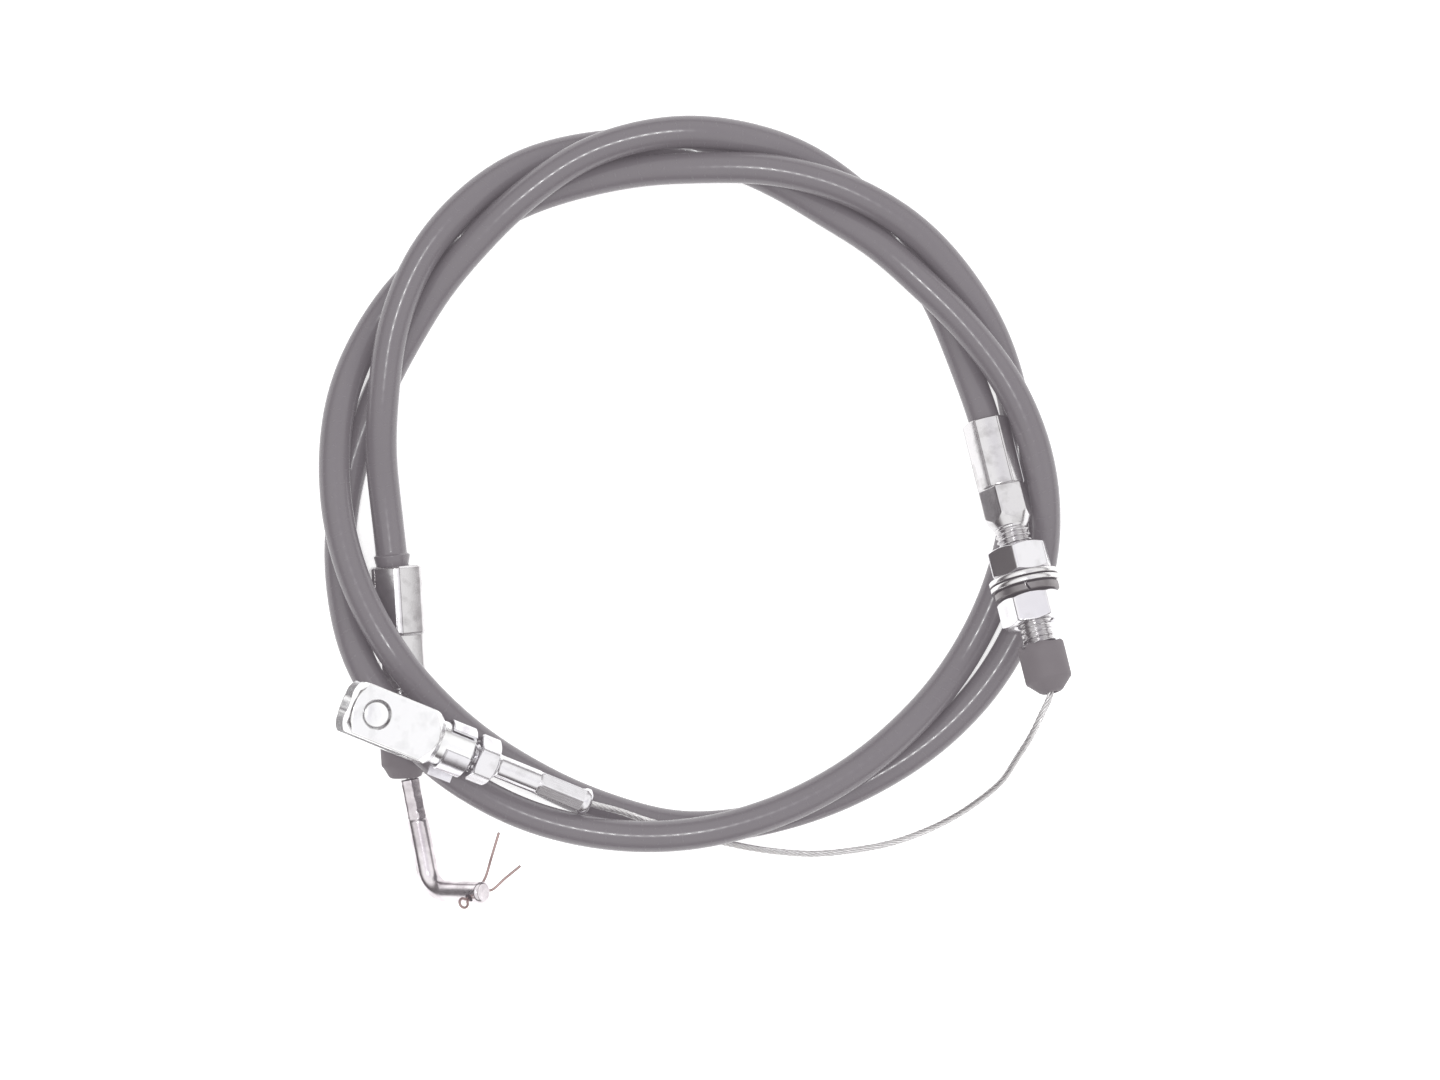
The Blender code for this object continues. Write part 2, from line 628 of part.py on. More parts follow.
def make_rod():
    """The throttle rod with its crimped end, bend and drilled leg, on the sliding axis."""
    boot_tip = LEFT_BOOT_START + LEFT_BOOT_LENGTH
    side = LEFT.matrix_world.to_3x3() @ Vector((0.0, -1.0, 0.0))
    start = on_axis(LEFT, boot_tip + FIT_GAP) + side * ROD_OFFSET
    along, leg, corner, bend = rod_points(start, ROD_HEADING, ROD_LENGTH)
    crimp = ROD_CRIMP_RADIUS / ROD_RADIUS
    end = corner + leg * LEG_LENGTH
    crimp_end = start + along * ROD_CRIMP_LENGTH
    points = [start, crimp_end, crimp_end + along * ROD_CRIMP_STEP]
    points += bend + [end - leg * LEG_CHAMFER, end]
    radii = [crimp, crimp] + [1.0] * (len(points) - 3) + [1.0 - LEG_CHAMFER / ROD_RADIUS]
    obj = tube_mesh("throttle_rod", points, ROD_RADIUS, 4, ROD_STEEL, True, radii)
    frame = axis_like("rod_crimp_axis", start, along)
    cut(obj, flats_cutter("rod_crimp_flats", frame, 6, ROD_CRIMP_FLATS, -CUT_PAST, ROD_CRIMP_LENGTH,
                          ROD_CRIMP_TURN, ROD_RADIUS))
    depth = ROD_TAIL_DEPTH + FIT_GAP
    cut(obj, bore_cutter("rod_bore", frame, -CUT_PAST, depth))
    hole = end - leg * SPLIT_HOLE_FROM_END
    through = Vector(COTTER_DIRECTION)
    through = (through - leg * through.dot(leg)).normalized()
    across = 4 * ROD_RADIUS
    cut(obj, cylinder_cutter("split_hole", None, SPLIT_HOLE_RADIUS, hole, through, across, BORE_SIDES))
    slides(obj)
    return start, along, hole, through


def slides(obj):
    """Parents a piece to the sliding axis and leaves it where it is."""
    obj.parent = SLIDE
    obj.matrix_parent_inverse = SLIDE.matrix_world.inverted()


def bore_cutter(name, frame, low, high):
    """A cutter for the hole that the cable's end is crimped in, along a frame's axis."""
    centre = (0.0, 0.0, (low + high) / 2)
    return cylinder_cutter(name, frame, CABLE_RADIUS + FIT_GAP, centre, (0, 0, 1), high - low, BORE_SIDES)


def axis_like(name, origin, along):
    empty = bpy.data.objects.new(name, None)
    empty.matrix_world = Matrix.Translation(origin) @ along.to_track_quat("Z", "Y").to_matrix().to_4x4()
    GUIDES.objects.link(empty)
    return empty


def make_tail(start, along):
    """The straight end of the inner cable that slides with the rod."""
    inner_end = on_axis(LEFT, CONDUIT_SEAT + FIT_GAP)
    bend = on_axis(LEFT, TAIL_STRAIGHT_END)
    into = start + along * ROD_TAIL_DEPTH
    curved = smooth_through([inner_end.lerp(bend, 0.8), bend, start, into], 8)
    points = [inner_end, inner_end.lerp(bend, 0.5)] + curved
    slides(tube("rod_cable_tail", points, CABLE_RADIUS, 2, CABLE_STEEL))


def make_cotter(hole, through):
    """A split pin: one wire round the eye, down through the leg twice, and splayed apart."""
    across = Vector(COTTER_ACROSS)
    across = (across - through * across.dot(through)).normalized()
    spread = across * COTTER_SPREAD
    neck = hole - through * COTTER_STEM
    exit_point = hole + through * (ROD_RADIUS + 2 * COTTER_WIRE)
    eye = neck - through * COTTER_EYE
    start_angle = math.asin(COTTER_SPREAD / COTTER_EYE)
    loop = []
    for i in range(EYE_STEPS + 1):
        a = start_angle + (math.tau - 2 * start_angle) * i / EYE_STEPS
        loop.append(eye + (through * math.cos(a) + across * math.sin(a)) * COTTER_EYE)
    points = [exit_point + spread + Vector(COTTER_LONG_PRONG) * MM, exit_point + spread]
    points += loop
    points += [exit_point - spread, exit_point - spread + Vector(COTTER_SHORT_PRONG) * MM]
    slides(tube("cotter_pin", points, COTTER_WIRE, 2, COTTER_STEEL))


def make_terminal():
    """The threaded terminal that is crimped on the bare cable."""
    lip_start = SHANK_END + CRIMP_LENGTH
    end = TERMINAL_END
    edge = TERMINAL_CHAMFER
    outer = [(TERMINAL_THREAD_START, TERMINAL_THREAD_RADIUS - edge)]
    outer += [(TERMINAL_THREAD_START + edge, TERMINAL_THREAD_RADIUS), (SHANK_START, TERMINAL_THREAD_RADIUS)]
    outer += [(SHANK_START + edge, SHANK_RADIUS), (SHANK_END, SHANK_RADIUS), (SHANK_END, TERMINAL_RADIUS)]
    outer += [(end - 2 * edge, TERMINAL_RADIUS), (end, TERMINAL_RADIUS - 2 * edge)]
    obj = turned_solid("cable_terminal", outer, ZINC, FORK, SMALL_SIDES)
    cut(obj, bore_cutter("terminal_bore", FORK, end - CABLE_SEAT_DEPTH - FIT_GAP, end + CUT_PAST))
    wall = TERMINAL_RADIUS
    cut(obj, flats_cutter("terminal_flats", FORK, 6, TERMINAL_FLATS, SHANK_END, lip_start, TERMINAL_TURN,
                      wall))


def make_fork():
    """The fork head: a square bar turned down to a neck, slotted, cross-drilled and bored."""
    half = FORK_WIDTH / 2
    tip = -FORK_TIP
    outer = [(tip, FORK_TIP_RADIUS), (tip + FORK_TIP_ROUND, half), (tip + FORK_TIP_BAND, FORK_CORNER)]
    outer += [(FORK_BODY - FORK_REAR_ROUND, FORK_CORNER), (FORK_BODY, half)]
    outer += [(FORK_BODY + FORK_SHOULDER, FORK_NECK_RADIUS)]
    outer += [(FORK_LENGTH - TERMINAL_CHAMFER, FORK_NECK_RADIUS)]
    outer += [(FORK_LENGTH, FORK_NECK_RADIUS - TERMINAL_CHAMFER)]
    bore = TERMINAL_THREAD_RADIUS + FIT_GAP
    obj = turned("fork_head", outer, [(tip, bore), (FORK_LENGTH, bore)], ZINC, FORK, FORK_SIDES)
    front = tip - 2 * CUT_PAST
    cut(obj, flats_cutter("fork_flats", FORK, 4, FORK_WIDTH, front, FORK_BODY + 2 * CUT_PAST, 45.0))
    slot_low = (-FORK_SLOT / 2, -FORK_WIDTH, front)
    slot_high = (FORK_SLOT / 2, FORK_WIDTH, FORK_SLOT_DEPTH)
    cut(obj, box_cutter("fork_slot", FORK, slot_low, slot_high))
    hole = PIN_RADIUS + FIT_GAP
    across = 3 * FORK_WIDTH
    cut(obj, cylinder_cutter("fork_pin_hole", FORK, hole, (0.0, 0.0, 0.0), (1, 0, 0), across, SIDES))


def make_lock_nut():
    bore = TERMINAL_THREAD_RADIUS + FIT_GAP
    make_nut("terminal_nut", FORK, LOCK_NUT_START, LOCK_NUT_HEIGHT, LOCK_NUT_FLATS, LOCK_NUT_CORNER,
             NUT_CHAMFER, bore, LOCK_NUT_TURN, ZINC)


def make_clip_pin():
    """The pin, riveted under a strap whose band snaps round the fork's neck."""
    half = FORK_WIDTH / 2
    strap_top = -half - STACK_GAP
    strap_low = strap_top - STRAP_THICKNESS
    head_top = strap_low - STACK_GAP
    head_low = head_top - PIN_HEAD_THICKNESS
    pin_end = half - STACK_GAP
    outer = [(head_low, PIN_HEAD_RADIUS), (head_top, PIN_HEAD_RADIUS), (head_top, PIN_RADIUS)]
    outer += [(pin_end - PIN_CHAMFER, PIN_RADIUS), (pin_end, PIN_RADIUS - PIN_CHAMFER)]
    pin = turned_solid("clevis_pin", outer, ZINC, FORK, SIDES)
    pin.rotation_euler = (0.0, math.radians(90.0), 0.0)

    band_end = BAND_START + BAND_LENGTH
    strap = bmesh.new()
    bmesh.ops.create_cube(strap, size=1.0)
    strap_middle = (strap_top + strap_low) / 2
    strap.transform(Matrix.Translation((strap_middle, 0.0, band_end / 2))
                    @ Matrix.Diagonal((STRAP_THICKNESS, STRAP_WIDTH, band_end, 1.0)))
    clip = bmesh_object("pin_clip", strap, SPRING_STEEL, FORK)
    band = band_shell(strap_low)
    ear_low = (-EAR_DROP - STRAP_THICKNESS, FORK_NECK_RADIUS - STRAP_THICKNESS, BAND_START + BAND_INSET)
    ear_high = (-EAR_DROP, EAR_REACH, band_end - BAND_INSET)
    cut(band, box_cutter("clip_ear", FORK, ear_low, ear_high), "UNION")
    cut(clip, band, "UNION")
    centre = (strap_middle, 0.0, 0.0)
    hole = PIN_RADIUS + FIT_GAP
    eye = cylinder_cutter("clip_eye", FORK, STRAP_EYE_RADIUS, centre, (1, 0, 0), STRAP_THICKNESS, SIDES)
    cut(clip, eye, "UNION")
    cut(clip, cylinder_cutter("clip_hole", FORK, hole, centre, (1, 0, 0), 6 * STRAP_THICKNESS, SIDES))


def band_shell(strap_low):
    """The open band round the neck, with a foot that joins it to the strap."""
    inner = FORK_NECK_RADIUS + STACK_GAP
    opening = math.radians(BAND_OPENING)
    start = math.radians(BAND_OPENING_TURN) + opening / 2
    sweep = math.tau - opening
    bm = bmesh.new()
    rows = []
    for z in (BAND_START, BAND_START + BAND_LENGTH):
        row = []
        for i in range(BAND_STEPS + 1):
            a = start + sweep * i / BAND_STEPS
            row.append(bm.verts.new((inner * math.cos(a), inner * math.sin(a), z)))
        rows.append(row)
    for i in range(BAND_STEPS):
        bm.faces.new((rows[0][i], rows[0][i + 1], rows[1][i + 1], rows[1][i]))
    band = as_cutter(bmesh_object("clip_band", bm, None, FORK, GUIDES))
    shell = band.modifiers.new("wall", "SOLIDIFY")
    shell.thickness = STRAP_THICKNESS
    shell.offset = 1.0
    shell.use_even_offset = True
    side = STRAP_FOOT_WIDTH / 2
    foot_low = (strap_low + STRAP_THICKNESS / 2, -side, BAND_START + BAND_INSET)
    foot_high = (-inner - STRAP_THICKNESS / 2, side, BAND_START + BAND_LENGTH - BAND_INSET)
    cut(band, box_cutter("clip_foot", FORK, foot_low, foot_high), "UNION")
    return band


def shade(obj):
    """Applies a mesh piece's modifiers and shades its round faces smooth."""
    evaluated = obj.evaluated_get(bpy.context.evaluated_depsgraph_get())
    mesh = bpy.data.meshes.new_from_object(evaluated)
    mesh.name = obj.name
    mesh.shade_smooth()
    mesh.set_sharp_from_angle(angle=math.radians(SMOOTH_BELOW))
    obj.modifiers.clear()
    obj.data = mesh


SLIDE = axis_frame("rod_slide", on_axis(LEFT, LEFT_BOOT_START + LEFT_BOOT_LENGTH), LEFT_HEADING, LEFT_PITCH)

LINE = conduit_line()
make_conduit(LINE)
make_inner_cable(LINE)
make_ferrule("left_ferrule", LEFT, (LEFT_SLEEVE_LENGTH, LEFT_SLEEVE_RADIUS, LEFT_SLEEVE_FLATS),
             (LEFT_COLLAR_LENGTH, LEFT_COLLAR_RADIUS, LEFT_COLLAR_FLATS), LEFT_CONE_LENGTH,
             LEFT_STUD_LENGTH, (LEFT_FERRULE_TURN, LEFT_FERRULE_TURN))
make_boot("left_boot", LEFT, LEFT_BOOT_START, LEFT_BOOT_LENGTH, LEFT_STUD_END, LEFT_BOOT_MOUTH)
ROD_START, ROD_ALONG, HOLE, THROUGH = make_rod()
make_tail(ROD_START, ROD_ALONG)
make_cotter(HOLE, THROUGH)
make_ferrule("right_ferrule", RIGHT, (RIGHT_SLEEVE_LENGTH, RIGHT_SLEEVE_RADIUS, RIGHT_SLEEVE_FLATS),
             (RIGHT_HEX_LENGTH, RIGHT_HEX_RADIUS, RIGHT_HEX_FLATS), RIGHT_CONE_LENGTH,
             RIGHT_STUD_LENGTH, (RIGHT_SLEEVE_TURN, RIGHT_HEX_TURN))
make_bulkhead_stack()
make_boot("right_boot", RIGHT, RIGHT_BOOT_START, RIGHT_BOOT_LENGTH, RIGHT_STUD_END,
          CABLE_RADIUS + 2 * FIT_GAP)
make_terminal()
make_fork()
make_lock_nut()
make_clip_pin()

for piece in list(PARTS.objects):
    if piece.type == "MESH":
        shade(piece)
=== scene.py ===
"""Throttle cable: the finish of every surface, the stranded cable, the threads and the studio.

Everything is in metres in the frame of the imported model. The conduit, the bare cable and the metal
fittings are modelled finely over the solids that they stand for.
"""
import math

import bmesh
import bpy
import numpy as np
from mathutils import Matrix, Vector


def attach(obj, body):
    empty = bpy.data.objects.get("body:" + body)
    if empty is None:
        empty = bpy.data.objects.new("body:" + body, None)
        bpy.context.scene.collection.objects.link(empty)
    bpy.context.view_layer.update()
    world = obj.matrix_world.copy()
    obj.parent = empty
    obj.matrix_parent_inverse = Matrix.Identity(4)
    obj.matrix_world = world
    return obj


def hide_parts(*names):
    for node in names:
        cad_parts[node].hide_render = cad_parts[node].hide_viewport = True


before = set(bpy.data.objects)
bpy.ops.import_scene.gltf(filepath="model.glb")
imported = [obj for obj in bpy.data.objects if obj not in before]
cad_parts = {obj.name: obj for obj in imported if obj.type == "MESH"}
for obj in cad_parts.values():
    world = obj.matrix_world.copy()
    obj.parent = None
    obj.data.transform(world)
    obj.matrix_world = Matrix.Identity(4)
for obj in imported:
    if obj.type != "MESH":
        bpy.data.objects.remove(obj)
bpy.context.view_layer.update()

MM = 0.001
COIL_CENTRE = Vector((-0.00088, 0.0061, 0.0))

# The camera looks straight down from this place, and the picture is this wide at the floor
CAMERA_PLACE = COIL_CENTRE + Vector((0.0069, -0.01265, 1.2))
PICTURE_WIDTH = 0.3312
SENSOR_WIDTH = 36.0

# The studio is bright overhead, most of all towards +X and +Y, and dark along its horizon
STUDIO_LEAN = (0.16, 0.1, 0.95)

# The photograph's blacks are lifted by this much
BLACK_LIFT = (0.088, 0.076, 0.086)

# The studio's colours from its horizon to overhead, its strength, its lamp and the glow of its floor
STUDIO_STOPS = [
    (0.0, (0.02, 0.018, 0.018)), (0.16, (0.06, 0.055, 0.05)), (0.34, (0.42, 0.41, 0.41)),
    (0.5, (0.95, 0.95, 0.95)), (0.82, (1.0, 1.0, 1.0)), (0.92, (0.78, 0.77, 0.81)),
]
STUDIO_STRENGTH = 1.3
LAMP_PLACE = (-0.05, 0.1, 1.5)
LAMP_SIZE = 0.09
LAMP_POWER = 4.0
FLOOR_HALF = 2.5
FLOOR_GLOW = 0.62
GLOW_START = 0.35
GLOW_END = 1.1

# Conduit and cable
CONDUIT_RADIUS = 0.0036
SHEATH_WALL = 0.0008
CONDUIT_SEAT = 0.014
CONDUIT_BORE = 0.0039
CABLE_RADIUS = 0.00075
ARMOUR_PITCH = 0.0029
ARMOUR_RIPPLE = 0.000006
SHEATH_SIDES = 28
SHEATH_STEP = 0.00058
LINING_STEP = 0.004
LIP_RADIUS = 0.0042
LIP_LENGTH = 0.0021
COIL_STEP = 0.00025
COIL_EASE = 0.009
HIDDEN_STEP = 0.002
HIDDEN_CABLE_START = 0.026
HIDDEN_CABLE_STEP = 0.003
HIDDEN_CABLE_SHARE = 0.93
HIDDEN_CABLE_SIDES = 10
LOOP_STEP = 0.0005
LOOP_EASE = 0.004

# Coil route: radius and height of the middle line in millimetres every 15 degrees, from -X through +Y
ROUTE_STEP = 15
ROUTE_SAMPLE = 5
ROUTE = [
    (70.0, 7.4), (72.4, 11.3), (77.1, 11.8), (81.0, 11.2), (82.6, 7.2), (80.4, 3.6),
    (76.8, 3.6), (72.5, 3.6), (69.6, 7.6), (69.7, 10.9), (72.4, 11.3), (76.9, 11.3),
    (80.6, 9.6), (82.6, 4.3), (82.2, 3.6), (80.9, 3.6), (79.3, 3.6), (78.6, 3.6),
    (78.5, 3.6), (76.6, 3.6), (75.7, 5.2), (76.1, 11.0), (77.4, 16.1), (79.3, 14.4),
    (80.9, 11.5), (81.9, 7.3), (80.7, 3.6), (77.9, 3.6), (75.3, 3.6), (73.0, 6.2),
    (72.2, 10.1), (74.2, 11.4), (76.4, 11.3), (77.6, 9.6), (77.6, 5.4), (76.7, 3.6),
    (75.3, 3.6), (74.5, 3.6), (74.2, 3.6), (74.3, 7.2), (75.3, 10.2), (77.1, 12.3),
    (79.6, 13.3), (82.1, 12.6), (84.4, 12.9), (85.6, 15.0), (85.3, 13.9), (82.7, 6.2),
    (78.6, 3.6), (74.7, 3.6), (72.9, 4.9), (73.3, 9.5), (75.8, 11.3), (79.3, 11.3),
    (80.6, 11.3), (79.9, 6.6), (76.7, 3.6), (72.6, 3.6), (69.5, 3.8),
]

# Bare cable from the right fitting to the fork head: x, y, z in millimetres from the coil's centre
LOOP = [
    (80.3, -50.2, 23.1), (77.2, -56.9, 21.4), (73.9, -62.5, 17.6), (71.2, -67.2, 14.0),
    (67.3, -71.0, 10.4), (61.6, -75.3, 6.6), (55.1, -78.9, 3.6), (47.1, -82.0, 1.7),
    (39.3, -83.7, 0.9), (28.7, -84.8, 0.9), (20.7, -84.3, 1.6), (14.2, -83.3, 3.6),
    (9.2, -82.2, 5.8), (4.6, -81.0, 7.5), (0.0, -79.6, 8.4), (-5.0, -78.1, 8.4),
    (-10.2, -76.6, 8.6), (-15.9, -74.5, 10.3),
]

# Strands of the bare cable
STRANDS = 6
STRAND_RADIUS = 0.00026
STRAND_LAY = 0.0096
STRAND_STEP = 0.0004
STRAND_SIDES = 9
WIRE_PITCH = 0.0031
WIRES = 6.0

# Studs, nuts and washers
STUD_RADIUS = 0.004
STUD_PITCH = 0.00125
STUD_THREAD_DEPTH = 0.00062
STUD_ENTRY = 0.0006
THREAD_ROWS = 9
FERRULE_BORE = 0.0017
GROOVE_WIDTH = 2.2
NUT_ACROSS = 0.013
NUT_CORNER = 0.0074
NUT_SINK = 0.0005
UPPER_NUT_TURN = 7.4
LOWER_NUT_TURN = 30.0
BOOT_RADIUS = 0.0053
BOOT_CONE = 0.0028

# Left fitting
LEFT_TURN = -11.0
LEFT_SLEEVE = 0.0159
LEFT_SLEEVE_ACROSS = 0.0114
LEFT_SLEEVE_RADIUS = 0.0062
LEFT_SLEEVE_SHIFT = 0.0006
LEFT_COLLAR_ACROSS = 0.010
LEFT_COLLAR_RADIUS = 0.0056
LEFT_COLLAR_SHIFT = 0.0008
LEFT_COLLAR_END = 0.0255
LEFT_CONE_END = 0.028
LEFT_STUD_END = 0.0434
LEFT_BOOT_START = 0.0374
LEFT_BOOT_END = 0.0486

# Right fitting
RIGHT_TURN = 30.0
RIGHT_SLEEVE = 0.0159
RIGHT_SLEEVE_ACROSS = 0.0101
RIGHT_SLEEVE_RADIUS = 0.0054
RIGHT_HEX_TURN = 15.0
RIGHT_HEX_ACROSS = 0.010
RIGHT_HEX_RADIUS = 0.0057
RIGHT_HEX_END = 0.0226
RIGHT_CONE_END = 0.0257
RIGHT_STUD_END = 0.0602
UPPER_NUT_START = 0.0303
NUT_HEIGHT = 0.0065
STACK_GAP = 0.00025
WASHER_THICKNESS = 0.0012
WASHER_RADIUS = 0.008
SPRING_THICKNESS = 0.0017
SPRING_RADIUS = 0.0074
SPRING_SPLIT = 0.0005
SPLIT_SLANT = 25.0
SPLIT_REACH = 0.003
RIGHT_BOOT_START = 0.053
RIGHT_BOOT_END = 0.0646

# Throttle rod
ROD_RADIUS = 0.0025
ROD_OFFSET = 0.0009
ROD_HEADING = 10.8
ROD_LENGTH = 0.0262
ROD_BEND_RADIUS = 0.0055
ROD_CRIMP_LENGTH = 0.0095
ROD_CRIMP_ACROSS = 0.0041
ROD_CRIMP_RADIUS = 0.00235
ROD_CRIMP_TURN = 20.0
ROD_DENT = 0.00008
ROD_SIDES = 48
ROD_TAIL_DEPTH = 0.0085
LEG_LENGTH = 0.0165
LEG_CHAMFER = 0.0006
LEG_PITCH = 40.5
LEG_HEADING = 92.0
FIT_GAP = 0.0003
TAIL_STRAIGHT_END = 0.0398
SPLIT_HOLE_RADIUS = 0.001
SPLIT_HOLE_FROM_END = 0.0026
COTTER_WIRE = 0.0003
COTTER_SPREAD = 0.00036
COTTER_EYE = 0.0011
COTTER_STEM = 0.0034
COTTER_DIRECTION = (0.56, 0.50, -0.66)
COTTER_ACROSS = (-0.595, 0.797, 0.098)
COTTER_LOW = (1.6, -1.3, -0.5)
COTTER_LONG_PRONG = (3.7, 11.5, -2.1)
COTTER_SHORT_PRONG = (8.2, 4.5, -1.7)

# Fork head, terminal and clip
FORK_HALF = 0.006
FORK_TIP = 0.0062
FORK_BODY = 0.0155
FORK_CORNER = 0.00835
FORK_FRONT_ARC = 0.0014
FORK_BACK_ARC = 0.0026
FORK_LENGTH = 0.0246
FORK_SLOT = 0.006
FORK_SLOT_DEPTH = 0.012
FORK_NECK_RADIUS = 0.005
PIN_RADIUS = 0.003
TERMINAL_START = 0.0135
TERMINAL_PITCH = 0.001
TERMINAL_THREAD_DEPTH = 0.00045
TERMINAL_BORE = 0.0033
LOCK_NUT_START = 0.026
LOCK_NUT_HEIGHT = 0.0048
LOCK_NUT_ACROSS = 0.010
LOCK_NUT_CORNER = 0.0056
LOCK_NUT_TURN = -17.5
SHANK_START = 0.0318
SHANK_END = 0.0424
SHANK_RADIUS = 0.00268
TERMINAL_RADIUS = 0.003
CRIMP_ACROSS = 0.0051
CRIMP_TURN = 5.0
CRIMP_END = 0.0537
TERMINAL_END = 0.0555
CABLE_SEAT_DEPTH = 0.009
STRAP_THICKNESS = 0.0007
STRAP_WIDTH = 0.0064
STRAP_EYE_RADIUS = 0.005
BAND_START = 0.0183
BAND_END = 0.0242
BAND_OPENING = 53.0
BAND_OPENING_TURN = -12.0
BAND_ROWS = 90
BAND_EDGE = 0.00016
JAW_LIFT = 0.0001
PIN_HEAD_RADIUS = 0.0042
PIN_HEAD_THICKNESS = 0.0007
EAR_REACH = 0.0074
EAR_DROP = 0.0034

STUD_BORE = STUD_RADIUS + FIT_GAP
CABLE_BORE = CABLE_RADIUS + FIT_GAP
PIN_BORE = PIN_RADIUS + FIT_GAP

TAU = math.tau
CROSSWISE = Matrix.Rotation(math.radians(90.0), 4, "Y")


def placed(point_mm):
    return COIL_CENTRE + Vector(point_mm) * MM


def direction(heading, pitch):
    """A unit vector at a heading from -Y towards +X and a pitch above the floor, in degrees."""
    h = math.radians(heading)
    p = math.radians(pitch)
    return Vector((math.sin(h) * math.cos(p), -math.cos(h) * math.cos(p), math.sin(p)))


def axis_frame(origin_mm, heading, pitch, roll=0.0):
    """A matrix whose Z runs along a fitting's axis and whose X is the side that faces up."""
    along = direction(heading, pitch)
    up = (Vector((0.0, 0.0, 1.0)) - along * along.z).normalized()
    matrix = Matrix((up, along.cross(up), along)).transposed().to_4x4()
    matrix = matrix @ Matrix.Rotation(math.radians(roll), 4, "Z")
    matrix.translation = placed(origin_mm)
    return matrix


LEFT = axis_frame((-68.0, -18.6, 6.5), 3.4, -1.1)
RIGHT = axis_frame((67.4, 14.4, 8.9), 13.2, 12.2)
FORK = axis_frame((-71.5, -51.6, 31.1), 66.8, -17.7, -7.5)


def on_axis(matrix, distance):
    return matrix @ Vector((0.0, 0.0, distance))


# Curves


def smooth_values(knots, values, at):
    """Values between knots on a curve that never overshoots them."""
    knots = np.asarray(knots, float)
    values = np.asarray(values, float)
    steps = np.diff(values) / np.diff(knots)
    slopes = np.empty_like(values)
    slopes[0] = steps[0]
    slopes[-1] = steps[-1]
    together = steps[:-1] * steps[1:]
    total = np.where(together > 0.0, steps[:-1] + steps[1:], 1.0)
    slopes[1:-1] = np.where(together > 0.0, 2.0 * together / total, 0.0)
    index = np.clip(np.searchsorted(knots, at, side="right") - 1, 0, len(knots) - 2)
    span = knots[index + 1] - knots[index]
    u = (at - knots[index]) / span
    from_value = (2 * u**3 - 3 * u**2 + 1) * values[index]
    from_slope = (u**3 - 2 * u**2 + u) * span * slopes[index]
    to_value = (3 * u**2 - 2 * u**3) * values[index + 1]
    to_slope = (u**3 - u**2) * span * slopes[index + 1]
    return from_value + from_slope + to_value + to_slope


def smooth_curve(points):
    """Closely spaced points on a smooth curve through the given points."""
    fixed = [np.asarray(p, float) for p in points]
    fixed = [2 * fixed[0] - fixed[1]] + fixed + [2 * fixed[-1] - fixed[-2]]
    dense = []
    for p0, p1, p2, p3 in zip(fixed, fixed[1:], fixed[2:], fixed[3:]):
        t1 = np.linalg.norm(p1 - p0) ** 0.5
        t2 = t1 + np.linalg.norm(p2 - p1) ** 0.5
        t3 = t2 + np.linalg.norm(p3 - p2) ** 0.5
        for t in np.linspace(t1, t2, 12, endpoint=False):
            a1 = p0 + (p1 - p0) * t / t1
            a2 = p1 + (p2 - p1) * (t - t1) / (t2 - t1)
            a3 = p2 + (p3 - p2) * (t - t2) / (t3 - t2)
            b1 = a1 + (a2 - a1) * t / t2
            b2 = a2 + (a3 - a2) * (t - t1) / (t3 - t1)
            dense.append(b1 + (b2 - b1) * (t - t1) / (t2 - t1))
    dense.append(fixed[-2])
    return np.array(dense)


def lengths_along(line):
    return np.concatenate([[0.0], np.cumsum(np.linalg.norm(np.diff(line, axis=0), axis=1))])


def points_at(line, distances):
    along = lengths_along(line)
    return np.stack([np.interp(distances, along, line[:, k]) for k in range(3)], axis=1)


def evenly(line, step):
    total = lengths_along(line)[-1]
    return points_at(line, np.linspace(0.0, total, round(total / step) + 1))


def faired(line, step, reach):
    """The line resampled every step and smoothed over a length, with both ends where they were."""
    even = evenly(line, step)
    half = max(1, round(reach / step))
    weights = np.hanning(2 * half + 3)[1:-1]
    weights /= weights.sum()
    before = 2 * even[0] - even[1 : half + 1][::-1]
    after = 2 * even[-1] - even[-half - 1 : -1][::-1]
    padded = np.concatenate([before, even, after])
    return np.stack([np.convolve(padded[:, k], weights, mode="valid") for k in range(3)], axis=1)


def frames_along(line):
    """Tangents, and two crosswise directions that don't twist, at each point of a line."""
    tangents = np.gradient(line, axis=0)
    tangents /= np.linalg.norm(tangents, axis=1)[:, None]
    first = np.cross(tangents[0], (0.0, 0.0, 1.0))
    if np.linalg.norm(first) < 0.1:
        first = np.cross(tangents[0], (1.0, 0.0, 0.0))
    crosswise = np.empty_like(line)
    crosswise[0] = first / np.linalg.norm(first)
    for i in range(1, len(line)):
        side = crosswise[i - 1] - tangents[i] * (crosswise[i - 1] @ tangents[i])
        crosswise[i] = side / np.linalg.norm(side)
    return tangents, crosswise, np.cross(tangents, crosswise)


# Meshes


def linked(name, data):
    """A new object with this data, in the scene."""
    obj = bpy.data.objects.new(name, data)
    bpy.context.scene.collection.objects.link(obj)
    return obj


